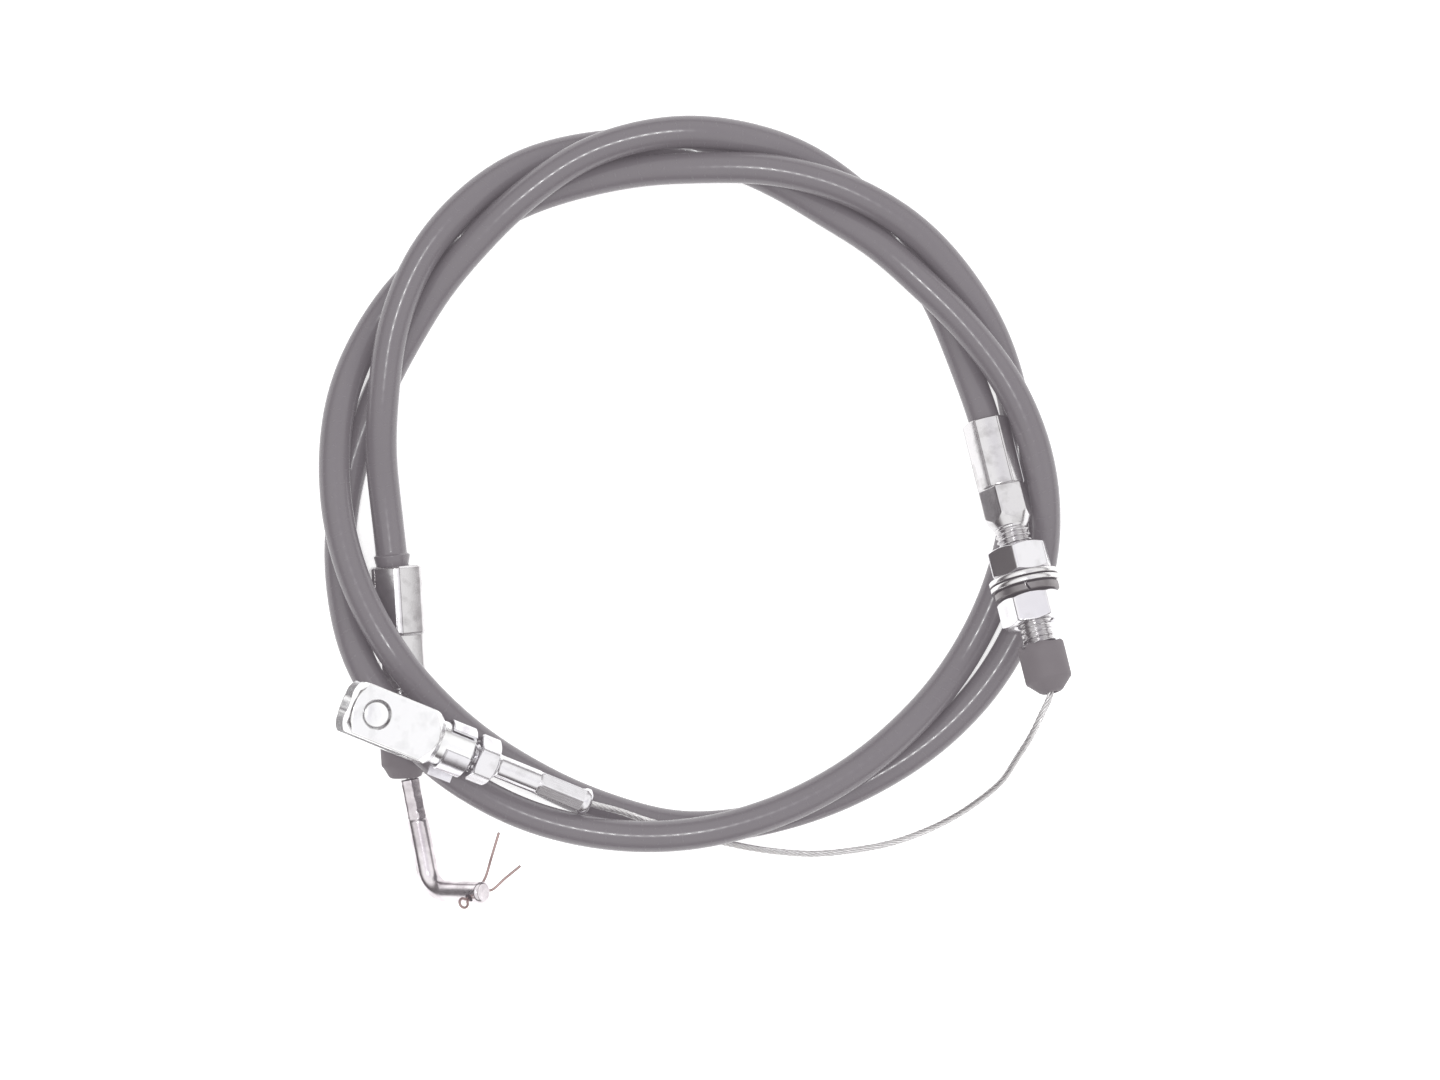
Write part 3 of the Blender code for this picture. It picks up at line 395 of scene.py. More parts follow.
def loft(name, rows, along, closed=False):
    """A mesh over rows of points that each go round. Its ends are filled unless the rows close up."""
    rows = np.asarray(rows, float)
    count, sides = rows.shape[:2]
    spans = count if closed else count - 1
    faces = []
    marks = []
    for i in range(spans):
        a = i * sides
        b = ((i + 1) % count) * sides
        v0 = along[i]
        v1 = along[(i + 1) % count]
        for j in range(sides):
            k = (j + 1) % sides
            faces.append((a + j, a + k, b + k, b + j))
            u0 = j / sides
            u1 = (j + 1) / sides
            marks += [(u0, v0), (u1, v0), (u1, v1), (u0, v1)]
    if not closed:
        for i, order in ((0, range(sides)), (count - 1, range(sides - 1, -1, -1))):
            faces.append(tuple(i * sides + j for j in order))
            marks += [(j / sides, along[i]) for j in order]
    mesh = bpy.data.meshes.new(name)
    mesh.from_pydata(rows.reshape(-1, 3).tolist(), [], faces)
    uv = mesh.uv_layers.new(name="along")
    uv.data.foreach_set("uv", np.asarray(marks, np.float32).ravel())
    bm = bmesh.new()
    bm.from_mesh(mesh)
    bmesh.ops.recalc_face_normals(bm, faces=bm.faces)
    bm.to_mesh(mesh)
    bm.free()
    mesh.shade_smooth()
    return linked(name, mesh)


def circles(one, other, turn):
    """Unit circles from two crosswise directions at each point of a line."""
    return one[:, None, :] * np.cos(turn)[None, :, None] + other[:, None, :] * np.sin(turn)[None, :, None]


def tube_rows(line, radius, sides):
    """Rows of a round tube. The radius is one number or a value for each point and side."""
    _, one, other = frames_along(line)
    ring = circles(one, other, np.arange(sides) * TAU / sides)
    radius = np.broadcast_to(np.asarray(radius, float), (len(line), sides))
    return line[:, None, :] + ring * radius[:, :, None]


def tube(name, line, radius, sides):
    return loft(name, tube_rows(line, radius, sides), lengths_along(line))


def turns(sides, corners=(), edge=0.0):
    """Angles round an axis: even ones, and a close pair at each corner."""
    even = [i * 360.0 / sides for i in range(sides)]
    extra = [c % 360.0 + e for c in corners for e in (-edge, edge)]
    kept = [a for a in even if all(abs((a - c + 180.0) % 360.0 - 180.0) > 1.5 * edge for c in corners)]
    return np.radians(sorted(a % 360.0 for a in kept + extra))


def corners_of(count, turn):
    return [turn + i * 360.0 / count for i in range(count)]


def flat_radius(angles, count, across, turn):
    """Distance from the axis to the flats of a regular bar, at each angle."""
    sector = TAU / count
    off = (angles - math.radians(turn)) % sector - sector / 2
    return across / 2 / np.cos(off)


def rows_round(angles, outline):
    """Rows round the axis from pairs of a distance along it and a radius, for all angles or for each."""
    shape = angles.shape
    return [tuple(np.broadcast_to(np.asarray(part, float), shape) for part in pair) for pair in outline]


def eased(stations, width, closed=True):
    """Replaces each row by two that stand a little back from it, which breaks the sharp edge."""
    count = len(stations)
    out = []
    for i, (z, r) in enumerate(stations):
        for step in (-1, 1):
            if not closed and not 0 <= i + step < count:
                out.append((z, r))
                continue
            z2, r2 = stations[(i + step) % count]
            length = np.hypot(z2 - z, r2 - r)
            share = np.minimum(width / 2 / np.maximum(length, 1e-9), 0.45)
            out.append((z + (z2 - z) * share, r + (r2 - r) * share))
    return out


def round_piece(name, matrix, angles, stations, closed=True):
    """A piece round an axis, from its rows: a closed outline with a bore, or a solid with filled ends."""
    place = np.array(matrix, float)
    rows = []
    for z, r in stations:
        local = np.stack([r * np.cos(angles), r * np.sin(angles), z], axis=1)
        rows.append(local @ place[:3, :3].T + place[:3, 3])
    along = [float(np.mean(z)) for z, r in stations]
    return loft(name, rows, along, closed)


def weighted(obj, sharp=50.0):
    """Large faces keep their own shading beside the narrow eased edges."""
    obj.data.shade_smooth()
    obj.data.set_sharp_from_angle(angle=math.radians(sharp))
    normals = obj.modifiers.new("weighted_normals", "WEIGHTED_NORMAL")
    normals.keep_sharp = True
    return obj


def carve(obj, cutter, operation="DIFFERENCE"):
    """Cuts or joins, applies the result and removes the cutter."""
    boolean = obj.modifiers.new("carve", "BOOLEAN")
    boolean.operation = operation
    boolean.object = cutter
    boolean.solver = "EXACT"
    bpy.context.view_layer.update()
    mesh = bpy.data.meshes.new_from_object(obj.evaluated_get(bpy.context.evaluated_depsgraph_get()))
    mesh.name = obj.name
    obj.modifiers.clear()
    obj.data = mesh
    bpy.data.objects.remove(cutter)
    return obj


def box(name, matrix, low, high):
    bm = bmesh.new()
    bmesh.ops.create_cube(bm, size=1.0)
    size = [h - l for l, h in zip(low, high)]
    middle = [(l + h) / 2 for l, h in zip(low, high)]
    bm.transform(matrix @ Matrix.Translation(middle) @ Matrix.Diagonal((*size, 1.0)))
    return from_bmesh(name, bm)


def from_bmesh(name, bm):
    mesh = bpy.data.meshes.new(name)
    bm.to_mesh(mesh)
    bm.free()
    return linked(name, mesh)


def cylinder(name, matrix, radius, depth, segments):
    bm = bmesh.new()
    bmesh.ops.create_cone(bm, cap_ends=True, segments=segments, radius1=radius, radius2=radius, depth=depth)
    bm.transform(matrix)
    return from_bmesh(name, bm)


def pointing(place, direction):
    return Matrix.Translation(place) @ direction.to_track_quat("Z", "Y").to_matrix().to_4x4()


def joined(obj, others):
    """One object from several, without merging their surfaces."""
    bm = bmesh.new()
    bm.from_mesh(obj.data)
    for other in others:
        bm.from_mesh(other.data)
        bpy.data.objects.remove(other)
    bm.to_mesh(obj.data)
    bm.free()
    return obj


# Materials


def set_stops(ramp, stops):
    """Gives a colour ramp its places and colours."""
    while len(ramp.elements) < len(stops):
        ramp.elements.new(0.5)
    for element, (at, colour) in zip(ramp.elements, stops):
        element.position = at
        element.color = (*colour, 1.0)


class Shader:
    """A Principled material and short ways to add nodes to it."""

    def __init__(self, name, colour, roughness, metallic=0.0, specular=0.5):
        self.made = bpy.data.materials.new(name)
        self.made.use_nodes = True
        self.tree = self.made.node_tree
        self.out = self.tree.nodes["Principled BSDF"]
        start = {"Base Color": (*colour, 1.0), "Roughness": roughness, "Metallic": metallic,
                 "Specular IOR Level": specular}
        for key, value in start.items():
            self.out.inputs[key].default_value = value
        self.place = self.tree.nodes.new("ShaderNodeTexCoord")

    def node(self, kind, **settings):
        made = self.tree.nodes.new(kind)
        for key, value in settings.items():
            if hasattr(made, key):
                setattr(made, key, value)
            else:
                made.inputs[key].default_value = value
        return made

    def link(self, source, target):
        self.tree.links.new(source, target)

    def noise(self, scale, detail=3.0, stretch=(1.0, 1.0, 1.0), source="Object"):
        made = self.node("ShaderNodeTexNoise", Scale=scale, Detail=detail)
        mapping = self.node("ShaderNodeMapping", Scale=stretch)
        self.link(self.place.outputs[source], mapping.inputs["Vector"])
        self.link(mapping.outputs["Vector"], made.inputs["Vector"])
        return made.outputs["Fac"]

    def ramp(self, source, stops):
        made = self.node("ShaderNodeValToRGB")
        set_stops(made.color_ramp, stops)
        self.link(source, made.inputs["Fac"])
        return made.outputs["Color"]

    def span(self, source, low, high, low_in=0.0, high_in=1.0):
        limits = {"From Min": low_in, "From Max": high_in, "To Min": low, "To Max": high}
        made = self.node("ShaderNodeMapRange", **limits)
        self.link(source, made.inputs["Value"])
        return made.outputs["Result"]

    def maths(self, operation, a, b=None):
        made = self.node("ShaderNodeMath", operation=operation)
        for socket, value in zip(made.inputs, (a, b)):
            if value is None:
                continue
            if isinstance(value, (int, float)):
                socket.default_value = value
            else:
                self.link(value, socket)
        return made.outputs["Value"]

    def mix(self, factor, a, b):
        made = self.node("ShaderNodeMix", data_type="RGBA")
        self.link(factor, made.inputs["Factor"])
        for socket, value in ((made.inputs[6], a), (made.inputs[7], b)):
            if isinstance(value, tuple):
                socket.default_value = (*value, 1.0)
            else:
                self.link(value, socket)
        return made.outputs[2]

    def colour(self, source):
        self.link(source, self.out.inputs["Base Color"])

    def rough(self, source):
        self.link(source, self.out.inputs["Roughness"])

    def bump(self, source, distance, strength=1.0):
        made = self.node("ShaderNodeBump", Strength=strength, Distance=distance)
        self.link(source, made.inputs["Height"])
        if self.out.inputs["Normal"].is_linked:
            self.link(self.out.inputs["Normal"].links[0].from_socket, made.inputs["Normal"])
        self.link(made.outputs["Normal"], self.out.inputs["Normal"])

    def along(self):
        """The distance along the piece in metres, and the share of a turn round it."""
        uv = self.node("ShaderNodeSeparateXYZ")
        self.link(self.place.outputs["UV"], uv.inputs["Vector"])
        return uv.outputs["Y"], uv.outputs["X"]


def sheath_material():
    """Extruded vinyl over wound armour: the gloss breaks where the armour's turns show through."""
    m = Shader("sheath_vinyl", (0.12, 0.11, 0.12), 0.22, specular=0.42)
    distance, turn = m.along()
    phase = m.maths("SUBTRACT", m.maths("DIVIDE", distance, ARMOUR_PITCH), turn)
    wave = m.maths("COSINE", m.maths("MULTIPLY", phase, TAU))
    cloud = m.noise(90.0, 4.0)
    fine = m.noise(1400.0, 3.0)
    m.colour(m.mix(cloud, (0.118, 0.108, 0.117), (0.13, 0.12, 0.129)))
    crest = m.span(wave, 0.27, 0.19, -1.0, 1.0)
    m.rough(m.maths("ADD", crest, m.span(fine, -0.04, 0.04)))
    m.bump(fine, 0.00001, 0.2)
    return m.made


def zinc_material(name, light, dark, roughness, lines, mottle=260.0):
    """Bright zinc over turned or crimped steel, with fine lines round or along the piece."""
    m = Shader(name, light, roughness, metallic=1.0)
    cloud = m.noise(mottle, 5.0)
    m.colour(m.ramp(cloud, [(0.28, dark), (0.5, light), (1.0, light)]))
    m.rough(m.span(cloud, roughness + 0.08, roughness - 0.05))
    m.bump(m.noise(1.0, 4.0, lines, "UV"), 0.00003, 0.5)
    m.bump(m.noise(mottle * 3, 3.0), 0.00003, 0.3)
    return m.made


def matt_material(name, dark, light):
    """Rubber or plain plastic with a fine grain."""
    m = Shader(name, light, 0.6, specular=0.3)
    grain = m.noise(900.0, 5.0)
    m.colour(m.mix(m.noise(200.0), dark, light))
    m.rough(m.span(grain, 0.5, 0.75))
    m.bump(grain, 0.00006, 0.6)
    return m.made


def strand_material():
    """Wires laid in each strand: fine slanting lines across the strand, with painted shade in the grooves
    between the wires.
    """
    m = Shader("strand_steel", (0.5, 0.49, 0.47), 0.32, metallic=1.0)
    distance, turn = m.along()
    phase = m.maths("ADD", m.maths("DIVIDE", distance, WIRE_PITCH), m.maths("MULTIPLY", turn, WIRES))
    wires = m.maths("ABSOLUTE", m.maths("SINE", m.maths("MULTIPLY", phase, math.pi)))
    # painted shade: the colour goes dark in the grooves between the wires, where shade falls
    m.colour(m.mix(wires, (0.24, 0.23, 0.22), (0.82, 0.81, 0.81)))
    m.rough(m.span(m.noise(500.0), 0.25, 0.45))
    m.bump(wires, 0.00004, 0.5)
    return m.made


def plain_steel(name, light, dark, roughness, scale=300.0):
    m = Shader(name, light, roughness, metallic=1.0)
    cloud = m.noise(scale, 5.0)
    m.colour(m.ramp(cloud, [(0.25, dark), (0.6, light), (1.0, light)]))
    m.rough(m.span(cloud, roughness + 0.12, roughness - 0.05))
    m.bump(m.noise(scale * 4, 4.0), 0.00004, 0.4)
    return m.made


def floor_material():
    """White paper that glows a little round the part, as under a light tent."""
    m = Shader("studio_floor", (0.86, 0.86, 0.86), 0.7, specular=0.1)
    m.colour(m.mix(m.noise(3.0), (0.855, 0.855, 0.855), (0.87, 0.87, 0.87)))
    distance = m.node("ShaderNodeVectorMath", operation="LENGTH")
    m.link(m.place.outputs["Object"], distance.inputs[0])
    m.out.inputs["Emission Color"].default_value = (1.0, 0.995, 0.995, 1.0)
    glow = m.span(distance.outputs["Value"], FLOOR_GLOW, 0.0, GLOW_START, GLOW_END)
    m.link(glow, m.out.inputs["Emission Strength"])
    return m.made


def coat(obj, material, solid, body="conduit"):
    """Gives a piece its material and its body, and hides the solid it stands for."""
    obj.data.materials.clear()
    obj.data.materials.append(material)
    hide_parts(solid)
    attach(obj, body)
    return obj


# Pieces


def conduit_curve():
    """The conduit's middle line, from its seat in the left ferrule to its seat in the right one."""
    knots = [i * ROUTE_STEP for i in range(len(ROUTE))]
    angles = np.arange(0.0, knots[-1] + 1.0, ROUTE_SAMPLE)
    radius = smooth_values(knots, [r for r, _ in ROUTE], angles) * MM
    height = smooth_values(knots, [h for _, h in ROUTE], angles) * MM
    turn = np.radians(angles)
    coil = np.stack([-radius * np.cos(turn), radius * np.sin(turn), height], axis=1) + np.array(COIL_CENTRE)
    left = [on_axis(LEFT, d) for d in (CONDUIT_SEAT, CONDUIT_SEAT / 2, 0.0)]
    right = [on_axis(RIGHT, d) for d in (0.0, CONDUIT_SEAT / 2, CONDUIT_SEAT)]
    return smooth_curve(left + list(coil) + right)


def make_sheath(material):
    """The sheath: a long hollow tube with the armour's turns faintly proud and a flared end lip."""
    line = faired(conduit_curve(), COIL_STEP, COIL_EASE)
    total = lengths_along(line)[-1]
    mouth = CONDUIT_SEAT + FIT_GAP
    lip = mouth + LIP_LENGTH
    profile = [
        (0.0, 0.0), (CONDUIT_SEAT - 0.001, 0.0), (mouth + 0.0001, 0.25), (mouth + 0.0004, 0.4),
        (mouth + 0.0009, 0.6), (mouth + 0.0014, 0.75), (lip - 0.0003, 0.9), (lip - 0.0001, 1.0),
        (lip + 0.0001, 0.85), (lip + 0.0002, 0.3), (lip + 0.0005, 0.0),
    ]
    near, swell = (np.array(column) for column in zip(*profile))
    rest = np.linspace(near[-1], total, round((total - near[-1]) / SHEATH_STEP))[1:]
    outer_at = np.concatenate([near, rest])
    flare = np.concatenate([swell * (LIP_RADIUS - CONDUIT_RADIUS), np.zeros(len(rest))])
    turn = np.arange(SHEATH_SIDES) / SHEATH_SIDES
    phase = outer_at[:, None] / ARMOUR_PITCH - turn[None, :]
    fade = np.clip((outer_at - lip) / 0.004, 0.0, 1.0)[:, None]
    torn = 1.0 + 0.12 * np.sin(5 * turn * TAU + 1.0) + 0.08 * np.sin(11 * turn * TAU)
    radius = CONDUIT_RADIUS + flare[:, None] * torn[None, :] + ARMOUR_RIPPLE * np.cos(phase * TAU) * fade
    outer = tube_rows(points_at(line, outer_at), radius, SHEATH_SIDES)
    inner_at = np.linspace(total, 0.0, round(total / LINING_STEP))
    _, one, other = frames_along(points_at(line, outer_at))
    index = np.clip(np.searchsorted(outer_at, inner_at), 0, len(outer_at) - 1)
    ring = circles(one[index], other[index], turn * TAU)
    inner = points_at(line, inner_at)[:, None, :] + ring * (CONDUIT_RADIUS - SHEATH_WALL)
    along = np.concatenate([outer_at, inner_at])
    sheath = loft("conduit_sheath", np.concatenate([outer, inner]), along, closed=True)
    coat(sheath, material, "conduit_jacket")
    return sheath, points_at(line, np.linspace(0.0, total, 500)), total


def stranded(name, line):
    """A cable of strands twisted round each other."""
    _, one, other = frames_along(line)
    along = lengths_along(line)
    winding = CABLE_RADIUS - STRAND_RADIUS
    strands = []
    for k in range(STRANDS):
        turn = along / STRAND_LAY * TAU + k * TAU / STRANDS
        path = line + winding * (one * np.cos(turn)[:, None] + other * np.sin(turn)[:, None])
        strands.append(tube(f"{name}_strand_{k}", path, STRAND_RADIUS, STRAND_SIDES))
    strands[0].name = name
    strands[0].data.name = name
    obj = joined(strands[0], strands[1:])
    obj.data.shade_smooth()
    return obj


def make_cables(material):
    """The bare loop of the inner cable, its hidden stretch in the conduit, and the rod's own end."""
    seat = TERMINAL_END - CABLE_SEAT_DEPTH
    loop = [on_axis(RIGHT, RIGHT_STUD_END), on_axis(RIGHT, RIGHT_BOOT_END)]
    loop += [placed(p) for p in LOOP]
    loop += [on_axis(FORK, TERMINAL_END), on_axis(FORK, seat)]
    line = evenly(faired(smooth_curve(loop), LOOP_STEP, LOOP_EASE), STRAND_STEP)
    bare = stranded("bare_cable", line)
    coat(bare, material, "inner_cable")

    hidden = faired(conduit_curve(), HIDDEN_STEP, COIL_EASE)
    tail = np.array([on_axis(RIGHT, d) for d in (HIDDEN_CABLE_START, RIGHT_STUD_END)])
    route = evenly(np.concatenate([hidden, tail]), HIDDEN_CABLE_STEP)
    inner = tube("cable_in_conduit", route, CABLE_RADIUS * HIDDEN_CABLE_SHARE, HIDDEN_CABLE_SIDES)
    coat(inner, material, "inner_cable")

    start, along, _, _, _ = rod_line()
    inner_end = on_axis(LEFT, CONDUIT_SEAT + FIT_GAP)
    bend = on_axis(LEFT, TAIL_STRAIGHT_END)
    into = start + along * ROD_TAIL_DEPTH
    points = [inner_end, inner_end.lerp(bend, 0.5), inner_end.lerp(bend, 0.8), bend, start, into]
    rod_end = stranded("rod_cable", evenly(smooth_curve(points), STRAND_STEP))
    coat(rod_end, material, "rod_cable_tail", "rod")
    return bare, line


def sleeve_radius(angles, across, radius, turn, rib, groove, roundness):
    """A crimped sleeve's section: six bowed sides with a raised flash line at each corner."""
    flats = flat_radius(angles, 6, across, turn)
    off = np.degrees((angles - math.radians(turn) + TAU / 12) % (TAU / 6) - TAU / 12)
    bowed = across / 2 + (flats - across / 2) * (1.0 - roundness)
    pressed = np.minimum(bowed, radius)
    side = np.abs(off)
    pressed = np.where(side < rib, radius, pressed)
    return np.where((side >= rib) & (side < rib + GROOVE_WIDTH), pressed - groove, pressed)


def thread_rows(angles, start, end, radius, pitch, depth, entry=0.0):
    """Rows of a screw thread: the crests climb round the axis."""
    at = np.linspace(start, end, round((end - start) / pitch * THREAD_ROWS) + 1)
    outline = []
    for z in at:
        phase = (z / pitch - angles / TAU) % 1.0
        height = np.clip(1.15 - np.abs(phase - 0.5) * 2.5, 0.0, 1.0)
        run_in = min(1.0, max(0.0, (z - start) / pitch), max(0.0, (end - z) / pitch))
        r = radius - depth * (1.0 - height) * (0.35 + 0.65 * run_in)
        limit = radius - max(0.0, entry - (end - z)) * 0.9
        outline.append((z, np.minimum(r, limit)))
    return rows_round(angles, outline)


def sleeve_angles(corners, ribbed, edge, beside):
    """Angles with a close pair at each corner and more beside each flash line, from places in degrees."""
    extra = np.radians([c + s * e for c in ribbed for s in (-1, 1) for e in beside])
    return np.unique(np.round(np.concatenate([turns(96, corners, edge), extra % TAU]), 6))


def make_ferrule(name, matrix, angles, shell, edge, thread_start, stud_end, material, solid):
    """A ferrule from the outline of its sleeve and head, with a threaded stud and a stepped bore."""
    rows = eased(rows_round(angles, shell), edge, closed=False)
    rows += thread_rows(angles, thread_start, stud_end, STUD_RADIUS, STUD_PITCH, STUD_THREAD_DEPTH,
                        STUD_ENTRY)
    seat = CONDUIT_SEAT + FIT_GAP
    rows += rows_round(angles, [(stud_end, FERRULE_BORE), (seat, FERRULE_BORE), (seat, CONDUIT_BORE)])
    return coat(weighted(round_piece(name, matrix, angles, rows)), material, solid)


def make_left_ferrule(material):
    corners = corners_of(6, LEFT_TURN)
    angles = sleeve_angles(corners, corners, 1.2, (4.1, 4.7, 6.3, 7.0))
    sleeve = sleeve_radius(angles, LEFT_SLEEVE_ACROSS, LEFT_SLEEVE_RADIUS, LEFT_TURN, rib=4.4,
                           groove=0.00028, roundness=0.05)
    collar = np.minimum(flat_radius(angles, 6, LEFT_COLLAR_ACROSS, LEFT_TURN), LEFT_COLLAR_RADIUS)
    beside = -np.sin(angles)
    sleeve = sleeve + beside * LEFT_SLEEVE_SHIFT
    collar = collar + beside * LEFT_COLLAR_SHIFT
    bevel = 0.0005
    shell = [
        (0.0, CONDUIT_BORE), (0.0, sleeve - bevel * 1.4), (bevel, sleeve),
        (LEFT_SLEEVE - 0.0007, sleeve), (LEFT_SLEEVE, sleeve - 0.00035), (LEFT_SLEEVE, collar),
        (LEFT_COLLAR_END, collar), (LEFT_CONE_END - 0.0002, STUD_RADIUS),
    ]
    return make_ferrule("left_ferrule_body", LEFT, angles, shell, 0.00018, LEFT_CONE_END, LEFT_STUD_END,
                        material, "left_ferrule")


def make_right_ferrule(material):
    ribbed = corners_of(6, RIGHT_TURN)
    angles = sleeve_angles(ribbed + corners_of(6, RIGHT_HEX_TURN), ribbed, 1.0, (1.9, 2.4, 4.4, 5.0))
    sleeve = sleeve_radius(angles, RIGHT_SLEEVE_ACROSS, RIGHT_SLEEVE_RADIUS, RIGHT_TURN, rib=2.1,
                           groove=0.00014, roundness=0.6)
    hexagon = np.minimum(flat_radius(angles, 6, RIGHT_HEX_ACROSS, RIGHT_HEX_TURN), RIGHT_HEX_RADIUS)
    drop = (RIGHT_CONE_END - RIGHT_HEX_END) / (RIGHT_HEX_RADIUS - STUD_RADIUS)
    meets = RIGHT_HEX_END + (RIGHT_HEX_RADIUS - hexagon) * drop
    bevel = 0.0004
    shell = [
        (0.0, CONDUIT_BORE), (0.0, np.minimum(sleeve, 0.0053) - bevel), (bevel * 0.8, sleeve),
        (RIGHT_SLEEVE - 0.0002, sleeve), (RIGHT_SLEEVE, np.minimum(sleeve, hexagon) - 0.0001),
        (RIGHT_SLEEVE + 0.00005, hexagon - 0.0003), (RIGHT_SLEEVE + 0.0004, hexagon),
        (meets, hexagon), (RIGHT_CONE_END - 0.0004, STUD_RADIUS + 0.0002),
    ]
    return make_ferrule("right_ferrule_body", RIGHT, angles, shell, 0.00016, RIGHT_CONE_END - 0.0002,
                        RIGHT_STUD_END, material, "right_ferrule")


def make_nut(name, matrix, start, height, across, corner, bore, turn, material, solid, edge=0.00022):
    """A hexagon nut whose chamfers meet its flats in curved lines, with a countersunk bore."""
    angles = turns(96, corners_of(6, turn), 1.0)
    hexagon = np.minimum(flat_radius(angles, 6, across, turn), corner)
    face = across / 2 * 0.97
    rise = (hexagon - face) * math.tan(math.radians(30.0))
    end = start + height
    outline = [
        (start + NUT_SINK, bore), (start, bore + NUT_SINK), (start, face), (start + rise, hexagon),
        (end - rise, hexagon), (end, face), (end, bore + NUT_SINK), (end - NUT_SINK, bore),
    ]
    rows = eased(rows_round(angles, outline), edge)
    return coat(weighted(round_piece(name, matrix, angles, rows)), material, solid)


def make_ring(name, start, end, radius, edge):
    """A flat ring on the right stud."""
    angles = turns(120)
    bore = STUD_BORE
    outline = [(start, bore), (start, radius), (end, radius), (end, bore)]
    return round_piece(name, RIGHT, angles, eased(rows_round(angles, outline), edge))


def make_washers(zinc, dark):
    at = UPPER_NUT_START + NUT_HEIGHT + STACK_GAP
    for side in ("upper", "lower"):
        end = at + WASHER_THICKNESS
        ring = weighted(make_ring(f"washer_{side}_ring", at, end, WASHER_RADIUS, 0.00035))
        coat(ring, zinc, f"flat_washer_{side}")
        at = end + STACK_GAP
    end = at + SPRING_THICKNESS
    ring = make_ring("spring_washer_ring", at, end, SPRING_RADIUS, 0.0004)
    slant = Matrix.Rotation(math.radians(SPLIT_SLANT), 4, "X")
    middle = RIGHT @ Matrix.Translation((SPRING_RADIUS * 0.8, 0.0, (at + end) / 2)) @ slant
    half = SPRING_SPLIT / 2
    high = (SPLIT_REACH, half, SPLIT_REACH)
    carve(ring, box("spring_split", middle, [-reach for reach in high], high))
    weighted(ring, 40.0)
    coat(ring, dark, "spring_washer")


def make_boot(name, matrix, start, end, stud_end, mouth, material, solid, seed, ragged):
    """A dipped rubber boot: a soft cylinder with an uneven rim and a blunt, slightly hollow cone."""
    angles = turns(72)
    random = np.random.default_rng(seed)
    lumps = sum(random.uniform(-1, 1) * np.cos(k * angles + random.uniform(0, TAU)) for k in range(3, 11))
    rim = start + ragged * (lumps - lumps.min()) / (lumps.max() - lumps.min())
    cone = end - BOOT_CONE
    bore = STUD_BORE
    outline = [
        (rim + 0.0002, bore), (rim, bore + 0.0002), (rim, BOOT_RADIUS - 0.00035),
        (rim + 0.00035, BOOT_RADIUS + 0.00002 * lumps), (start + 0.0022, BOOT_RADIUS),
        (cone - 0.0005, BOOT_RADIUS), (cone, BOOT_RADIUS - 0.00015), (cone + 0.0003, BOOT_RADIUS - 0.0005),
        (end - 0.0004, mouth + 0.0014), (end - 0.0001, mouth + 0.0009), (end, mouth + 0.0005),
        (end, mouth), (stud_end + FIT_GAP, mouth), (stud_end + FIT_GAP, bore),
    ]
    obj = round_piece(name, matrix, angles, rows_round(angles, outline))
    obj.data.set_sharp_from_angle(angle=math.radians(60.0))
    return coat(obj, material, solid)


def rod_line():
    """Where the rod starts, its direction, the leg's direction, the leg's end and the middle line."""
    side = LEFT.to_3x3() @ Vector((0.0, -1.0, 0.0))
    start = on_axis(LEFT, LEFT_BOOT_END + FIT_GAP) + side * ROD_OFFSET
    h = math.radians(ROD_HEADING)
    slope = (LEFT.to_3x3() @ Vector((0.0, 0.0, 1.0))).z
    flat = math.sqrt(1.0 - slope * slope)
    along = Vector((math.sin(h) * flat, -math.cos(h) * flat, slope))
    leg = direction(LEG_HEADING, LEG_PITCH)
    corner = start + along * ROD_LENGTH
    swing = along.angle(leg)
    setback = ROD_BEND_RADIUS * math.tan(swing / 2)
    inward = (leg - along * along.dot(leg)).normalized()
    centre = corner - along * setback + inward * ROD_BEND_RADIUS
    bend_start = corner - along * setback
    points = [start + (bend_start - start) * t for t in np.linspace(0.0, 1.0, 90)[:-1]]
    for a in np.linspace(0.0, swing, 40):
        points.append(centre + (along * math.sin(a) - inward * math.cos(a)) * ROD_BEND_RADIUS)
    end = corner + leg * LEG_LENGTH
    last = points[-1]
    points += [last + (end - last) * t for t in np.linspace(0.0, 1.0, 40)[1:]]
    return start, along, leg, end, np.array(points)


def split_hole(leg, end):
    """The cotter pin's direction through the leg, and the middle of its hole."""
    through = Vector(COTTER_DIRECTION)
    through = (through - leg * through.dot(leg)).normalized()
    return through, end - leg * SPLIT_HOLE_FROM_END


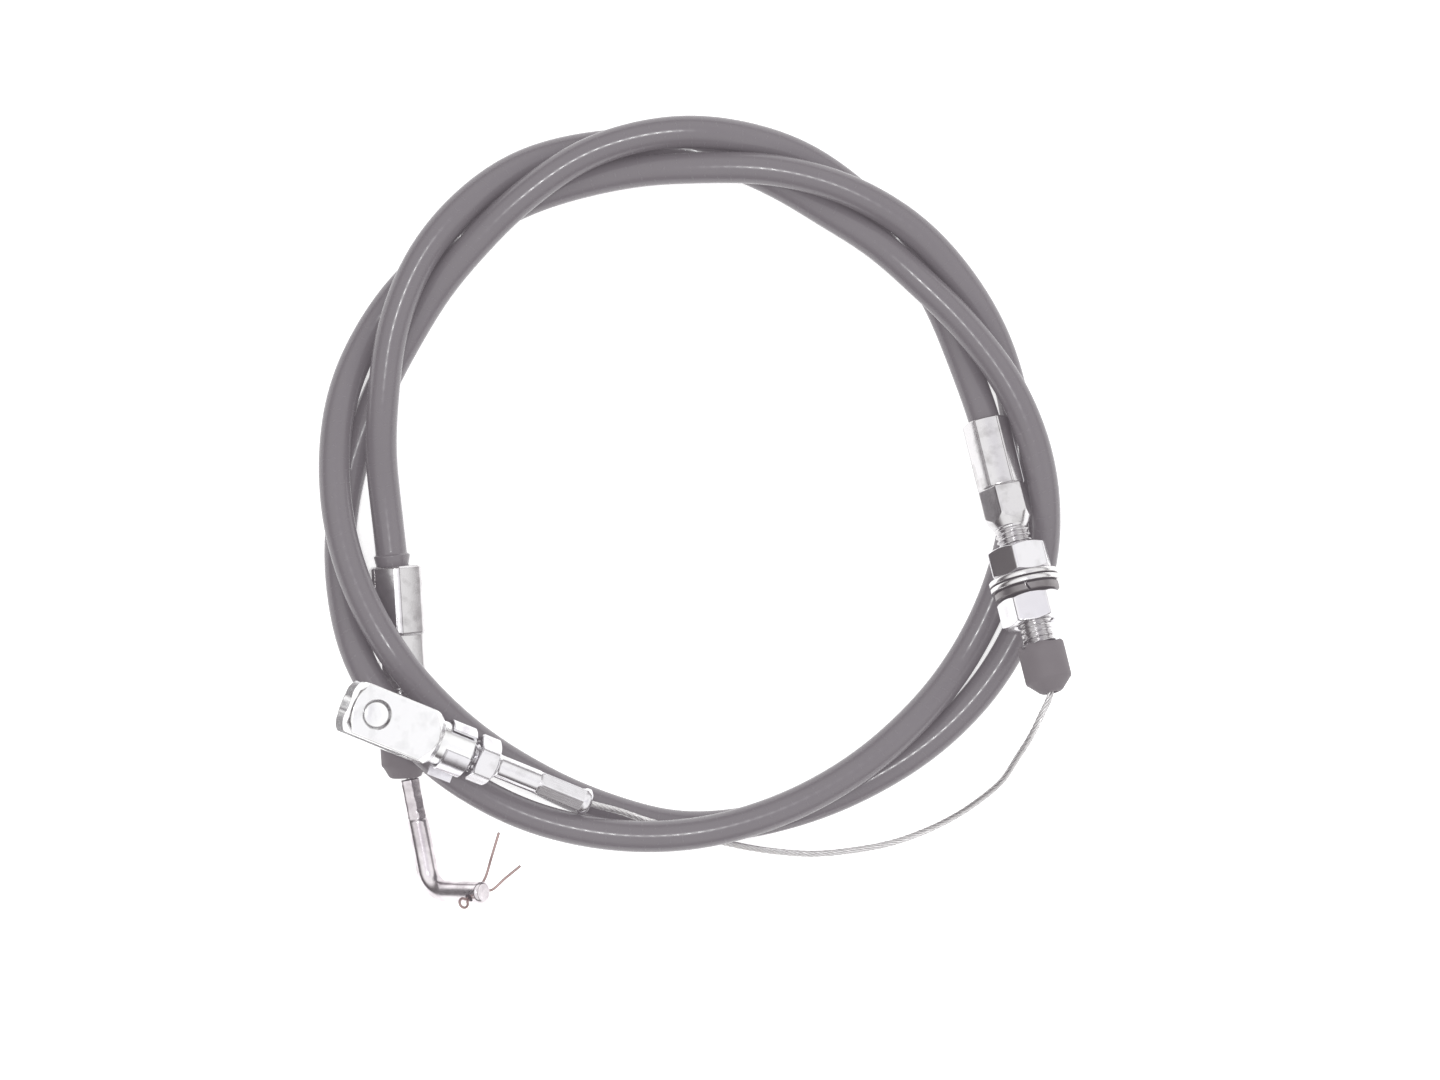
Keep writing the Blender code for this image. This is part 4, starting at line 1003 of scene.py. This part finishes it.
def make_rod(material):
    """The throttle rod: a pressed hexagon over the cable, a bent round rod and a chamfered leg."""
    start, along, leg, end, line = rod_line()
    at = lengths_along(line)
    angles = np.arange(ROD_SIDES) * TAU / ROD_SIDES
    pressed = np.minimum(flat_radius(angles, 6, ROD_CRIMP_ACROSS, ROD_CRIMP_TURN), ROD_CRIMP_RADIUS)
    random = np.random.default_rng(5)
    dents = np.interp(at, np.linspace(0.0, ROD_CRIMP_LENGTH, 12), random.uniform(-1, 1, 12)) * ROD_DENT
    into = np.clip((at - ROD_CRIMP_LENGTH) / 0.0007 + 0.5, 0.0, 1.0)[:, None]
    radius = pressed[None, :] + dents[:, None]
    radius = radius * (1.0 - into) + ROD_RADIUS * into
    squeeze = np.clip((at[-1] - at) / LEG_CHAMFER, 0.0, 1.0)[:, None] ** 0.6
    radius = radius - LEG_CHAMFER * (1.0 - squeeze)
    radius[0] -= 0.0003
    rod = loft("throttle_rod_body", tube_rows(line, radius, ROD_SIDES), at)
    through, hole = split_hole(leg, end)
    carve(rod, cylinder("split_hole", pointing(hole, through), SPLIT_HOLE_RADIUS, 4 * ROD_RADIUS, 32))
    carve(rod, cylinder("cable_hole", pointing(start, along), CABLE_BORE, 2 * ROD_TAIL_DEPTH, 32))
    coat(weighted(rod, 40.0), material, "throttle_rod", "rod")


def make_cotter(material):
    """The cotter pin: one wire from the long prong, round the eye and back to the short prong."""
    _, _, leg, end, _ = rod_line()
    through, hole = split_hole(leg, end)
    across = Vector(COTTER_ACROSS)
    across = (across - through * across.dot(through)).normalized()
    spread = across * COTTER_SPREAD
    exit_point = hole + through * (ROD_RADIUS + 2 * COTTER_WIRE)
    eye = hole - through * (COTTER_STEM + COTTER_EYE)
    first = math.asin(COTTER_SPREAD / COTTER_EYE)
    long_end = exit_point + spread + Vector(COTTER_LONG_PRONG) * MM
    short_end = exit_point - spread + Vector(COTTER_SHORT_PRONG) * MM
    points = [long_end, long_end.lerp(exit_point, 0.5), long_end.lerp(exit_point, 0.85)]
    points += [exit_point + spread - through * 0.0004, hole + spread]
    for a in np.linspace(first, TAU - first, 18):
        points.append(eye + (through * math.cos(a) + across * math.sin(a)) * COTTER_EYE)
    low = exit_point + Vector(COTTER_LOW) * MM
    points += [hole - spread, exit_point - spread - through * 0.0004]
    points += [low, low.lerp(short_end, 0.5), short_end]
    wire = tube("cotter_wire", evenly(smooth_curve(points), 0.0002), COTTER_WIRE, 12)
    coat(wire, material, "cotter_pin", "rod")


def make_fork(material):
    """The fork head: a square bar turned at both ends, with a slot, a pin hole and a threaded bore."""
    angles = turns(128, corners_of(4, 45.0), 1.0)
    square = np.minimum(flat_radius(angles, 4, 2 * FORK_HALF, 45.0), FORK_CORNER)
    tip = -FORK_TIP
    front = tip + 0.0006 + (square - FORK_HALF) * FORK_FRONT_ARC / (FORK_CORNER - FORK_HALF)
    back = FORK_BODY - 0.0002 - (square - FORK_HALF) * FORK_BACK_ARC / (FORK_CORNER - FORK_HALF)
    outline = [
        (tip, TERMINAL_BORE + 0.0004), (tip, 0.0045), (tip + 0.00015, 0.0051), (tip + 0.0006, FORK_HALF),
        (front + 0.0002, square), (back, square),
        (FORK_BODY, FORK_HALF - 0.0001), (FORK_BODY + 0.001, FORK_NECK_RADIUS),
        (FORK_LENGTH - 0.0004, FORK_NECK_RADIUS), (FORK_LENGTH, FORK_NECK_RADIUS - 0.0004),
        (FORK_LENGTH, TERMINAL_BORE + 0.0004), (FORK_LENGTH - 0.0004, TERMINAL_BORE),
    ]
    obj = round_piece("fork_head_body", FORK, angles, eased(rows_round(angles, outline), 0.0002))
    half = FORK_SLOT / 2
    carve(obj, box("fork_slot", FORK, (-half, -0.012, -0.012), (half, 0.012, FORK_SLOT_DEPTH)))
    reach = FORK_HALF + 0.001
    hole = PIN_BORE
    sink = 0.00015
    wide = hole + sink + 0.001
    profile = [(-reach, wide), (-FORK_HALF + sink, hole), (FORK_HALF - sink, hole), (reach, wide)]
    around = turns(64)
    carve(obj, round_piece("fork_drill", FORK @ CROSSWISE, around, rows_round(around, profile), False))
    return coat(weighted(obj, 35.0), material, "fork_head")


def make_pin(material):
    """The clevis pin: a riveted head, a shank and a faced end with an eased edge."""
    angles = turns(72)
    top = FORK_HALF - STACK_GAP
    strap_low = -FORK_HALF - STACK_GAP - STRAP_THICKNESS
    head_top = strap_low - STACK_GAP
    head_low = head_top - PIN_HEAD_THICKNESS
    outline = [
        (head_low, PIN_HEAD_RADIUS * 0.75), (head_low + 0.0003, PIN_HEAD_RADIUS),
        (head_top, PIN_HEAD_RADIUS), (head_top, PIN_RADIUS), (top - 0.00035, PIN_RADIUS),
        (top, PIN_RADIUS - 0.00035), (top, 0.0009),
    ]
    rows = eased(rows_round(angles, outline), 0.00015, False)
    obj = weighted(round_piece("clevis_pin_body", FORK @ CROSSWISE, angles, rows, False))
    return coat(obj, material, "clevis_pin")


def make_clip(material):
    """The spring clip: a strap with an eye under the fork and an open band round its neck."""
    inner = FORK_NECK_RADIUS + STACK_GAP
    opening = math.radians(BAND_OPENING)
    first = math.radians(BAND_OPENING_TURN) + opening / 2
    sweep = np.linspace(first, first + TAU - opening, BAND_ROWS)
    place = np.array(FORK, float)
    rows = []
    thick = STRAP_THICKNESS
    edge = BAND_EDGE
    section = [
        (0.0, BAND_START + edge), (edge, BAND_START), (thick - edge, BAND_START),
        (thick, BAND_START + edge), (thick, BAND_END - edge), (thick - edge, BAND_END),
        (edge, BAND_END), (0.0, BAND_END - edge),
    ]
    for i, a in enumerate(sweep):
        row = []
        lift = JAW_LIFT * max(0.0, 1.0 - min(i, BAND_ROWS - 1 - i) / 6.0) ** 2
        for depth, z in section:
            r = inner + depth + lift
            row.append((r * math.cos(a), r * math.sin(a), z))
        rows.append(np.array(row) @ place[:3, :3].T + place[:3, 3])
    band = loft("pin_clip_body", rows, list(sweep * inner))
    top = -FORK_HALF - STACK_GAP
    low = top - thick
    strap = box("clip_strap", FORK, (low, -STRAP_WIDTH / 2, 0.0), (top, STRAP_WIDTH / 2, BAND_END))
    through = FORK @ (Matrix.Translation(((top + low) / 2, 0.0, 0.0)) @ CROSSWISE)
    carve(strap, cylinder("clip_eye", through, STRAP_EYE_RADIUS, thick, 64), "UNION")
    carve(strap, cylinder("clip_hole", through, PIN_BORE, 4 * thick, 64))
    foot = box("clip_foot", FORK, (low + thick / 2, -0.0016, BAND_START + 0.0001),
               (-inner - thick / 2, 0.0016, BAND_END - 0.0001))
    carve(strap, foot, "UNION")
    ear = box("clip_ear", FORK, (-EAR_DROP - thick, FORK_NECK_RADIUS - thick, BAND_START + 0.0001),
              (-EAR_DROP, EAR_REACH, BAND_END - 0.0001))
    carve(band, ear, "UNION")
    carve(band, strap, "UNION")
    bevel = band.modifiers.new("edges", "BEVEL")
    bevel.width = 0.0001
    bevel.segments = 2
    bevel.limit_method = "ANGLE"
    bevel.angle_limit = math.radians(50.0)
    bevel.use_clamp_overlap = True
    return coat(weighted(band, 40.0), material, "pin_clip")


def make_terminal(material):
    """The terminal: an M6 thread, a turned shank, a hexagonal crimp and a chamfered lip."""
    angles = turns(96, corners_of(6, CRIMP_TURN), 1.2)
    pressed = np.minimum(flat_radius(angles, 6, CRIMP_ACROSS, CRIMP_TURN), TERMINAL_RADIUS)
    rows = thread_rows(angles, TERMINAL_START, SHANK_START, TERMINAL_RADIUS, TERMINAL_PITCH,
                       TERMINAL_THREAD_DEPTH)
    turned = [
        (SHANK_START + 0.0004, SHANK_RADIUS), (SHANK_END - 0.0003, SHANK_RADIUS),
        (SHANK_END, np.minimum(pressed, SHANK_RADIUS + 0.0001)), (SHANK_END + 0.0005, pressed),
        (CRIMP_END - 0.0003, pressed), (CRIMP_END + 0.0003, TERMINAL_RADIUS + 0.00005),
        (TERMINAL_END - 0.0007, TERMINAL_RADIUS + 0.00005), (TERMINAL_END, TERMINAL_RADIUS - 0.0007),
        (TERMINAL_END, CABLE_BORE),
        (TERMINAL_END - CABLE_SEAT_DEPTH, CABLE_BORE),
    ]
    rows += eased(rows_round(angles, turned), 0.00015, False)
    obj = weighted(round_piece("cable_terminal_body", FORK, angles, rows, False))
    return coat(obj, material, "cable_terminal")


# Studio


def make_studio():
    bm = bmesh.new()
    bmesh.ops.create_grid(bm, x_segments=8, y_segments=8, size=FLOOR_HALF)
    floor = from_bmesh("studio_floor", bm)
    floor.data.materials.append(floor_material())

    camera = linked("camera", bpy.data.cameras.new("camera"))
    camera.data.sensor_width = SENSOR_WIDTH
    camera.data.lens = SENSOR_WIDTH * CAMERA_PLACE[2] / PICTURE_WIDTH
    camera.data.clip_start = 0.05
    camera.data.clip_end = 20.0
    camera.location = CAMERA_PLACE
    bpy.context.scene.camera = camera

    lamp = linked("key", bpy.data.lights.new("key", "AREA"))
    lamp.data.shape = "SQUARE"
    lamp.data.size = LAMP_SIZE
    lamp.data.energy = LAMP_POWER
    lamp.location = LAMP_PLACE
    lamp.rotation_mode = "QUATERNION"
    lamp.rotation_quaternion = Vector(LAMP_PLACE).to_track_quat("Z", "Y")

    world = bpy.data.worlds.new("studio")
    world.use_nodes = True
    nodes = world.node_tree.nodes
    links = world.node_tree.links
    place = nodes.new("ShaderNodeTexCoord")
    lean = nodes.new("ShaderNodeVectorMath")
    lean.operation = "DOT_PRODUCT"
    lean.inputs[1].default_value = STUDIO_LEAN
    ramp = nodes.new("ShaderNodeValToRGB")
    set_stops(ramp.color_ramp, STUDIO_STOPS)
    ray = nodes.new("ShaderNodeLightPath")
    seen = nodes.new("ShaderNodeMix")
    seen.data_type = "RGBA"
    seen.inputs[7].default_value = (1.0, 1.0, 1.0, 1.0)
    links.new(place.outputs["Generated"], lean.inputs[0])
    links.new(lean.outputs["Value"], ramp.inputs["Fac"])
    links.new(ramp.outputs["Color"], seen.inputs[6])
    links.new(ray.outputs["Is Camera Ray"], seen.inputs["Factor"])
    background = nodes["Background"]
    background.inputs["Strength"].default_value = STUDIO_STRENGTH
    links.new(seen.outputs[2], background.inputs["Color"])
    bpy.context.scene.world = world
    settings = bpy.context.scene.view_settings
    settings.view_transform = "Standard"
    settings.use_curve_mapping = True
    settings.curve_mapping.black_level = [-level for level in BLACK_LIFT]
    settings.curve_mapping.update()


make_studio()

SHEATH = sheath_material()
STRAND = strand_material()
SLEEVE_ZINC = zinc_material("sleeve_zinc", (0.6, 0.59, 0.595), (0.4, 0.39, 0.39), 0.2, (2.0, 900.0, 1.0))
NUT_ZINC = zinc_material("nut_zinc", (0.7, 0.69, 0.71), (0.58, 0.57, 0.58), 0.17, (60.0, 300.0, 1.0))
FORK_ZINC = zinc_material("fork_zinc", (0.82, 0.82, 0.82), (0.72, 0.72, 0.72), 0.2, (4.0, 500.0, 1.0))
WASHER_ZINC = zinc_material("washer_zinc", (0.68, 0.67, 0.67), (0.5, 0.49, 0.49), 0.2, (3.0, 700.0, 1.0))
CLIP_ZINC = zinc_material("clip_zinc", (0.72, 0.71, 0.74), (0.52, 0.5, 0.53), 0.2, (30.0, 200.0, 1.0))
RUBBER = matt_material("boot_rubber", (0.112, 0.1, 0.106), (0.135, 0.122, 0.128))
SPRING = plain_steel("spring_steel", (0.2, 0.19, 0.19), (0.12, 0.11, 0.11), 0.35)
ROD = plain_steel("rod_steel", (0.7, 0.66, 0.68), (0.45, 0.41, 0.43), 0.17)
COTTER = plain_steel("cotter_steel", (0.34, 0.24, 0.22), (0.2, 0.13, 0.12), 0.35)
ARMOUR = plain_steel("armour_steel", (0.42, 0.42, 0.44), (0.3, 0.3, 0.3), 0.4)
LINER = matt_material("liner_nylon", (0.7, 0.69, 0.65), (0.77, 0.76, 0.72))

sheath, sheath_path, sheath_length = make_sheath(SHEATH)
bare_cable, cable_path = make_cables(STRAND)
make_left_ferrule(SLEEVE_ZINC)
right_body = make_right_ferrule(SLEEVE_ZINC)
LOWER_NUT_START = UPPER_NUT_START + NUT_HEIGHT + 2 * WASHER_THICKNESS + SPRING_THICKNESS + 4 * STACK_GAP
BULKHEAD_NUTS = (("upper", UPPER_NUT_START, UPPER_NUT_TURN), ("lower", LOWER_NUT_START, LOWER_NUT_TURN))
for side, start, turn in BULKHEAD_NUTS:
    make_nut(f"{side}_nut_body", RIGHT, start, NUT_HEIGHT, NUT_ACROSS, NUT_CORNER, STUD_BORE, turn,
             NUT_ZINC, f"bulkhead_nut_{side}")
make_washers(WASHER_ZINC, SPRING)
make_boot("left_boot_body", LEFT, LEFT_BOOT_START, LEFT_BOOT_END, LEFT_STUD_END, 0.0023, RUBBER,
          "left_boot", seed=3, ragged=0.0002)
make_boot("right_boot_body", RIGHT, RIGHT_BOOT_START, RIGHT_BOOT_END, RIGHT_STUD_END, 0.00135, RUBBER,
          "right_boot", seed=8, ragged=0.0011)
make_rod(ROD)
make_cotter(COTTER)
make_fork(FORK_ZINC)
make_pin(FORK_ZINC)
make_clip(CLIP_ZINC)
terminal = make_terminal(NUT_ZINC)
make_nut("lock_nut_body", FORK, LOCK_NUT_START, LOCK_NUT_HEIGHT, LOCK_NUT_ACROSS, LOCK_NUT_CORNER,
         TERMINAL_BORE, LOCK_NUT_TURN, NUT_ZINC, "terminal_nut", 0.0002)

for node, made in (("conduit_armour", ARMOUR), ("conduit_liner", LINER)):
    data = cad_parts[node].data
    data.materials.clear()
    data.materials.append(made)
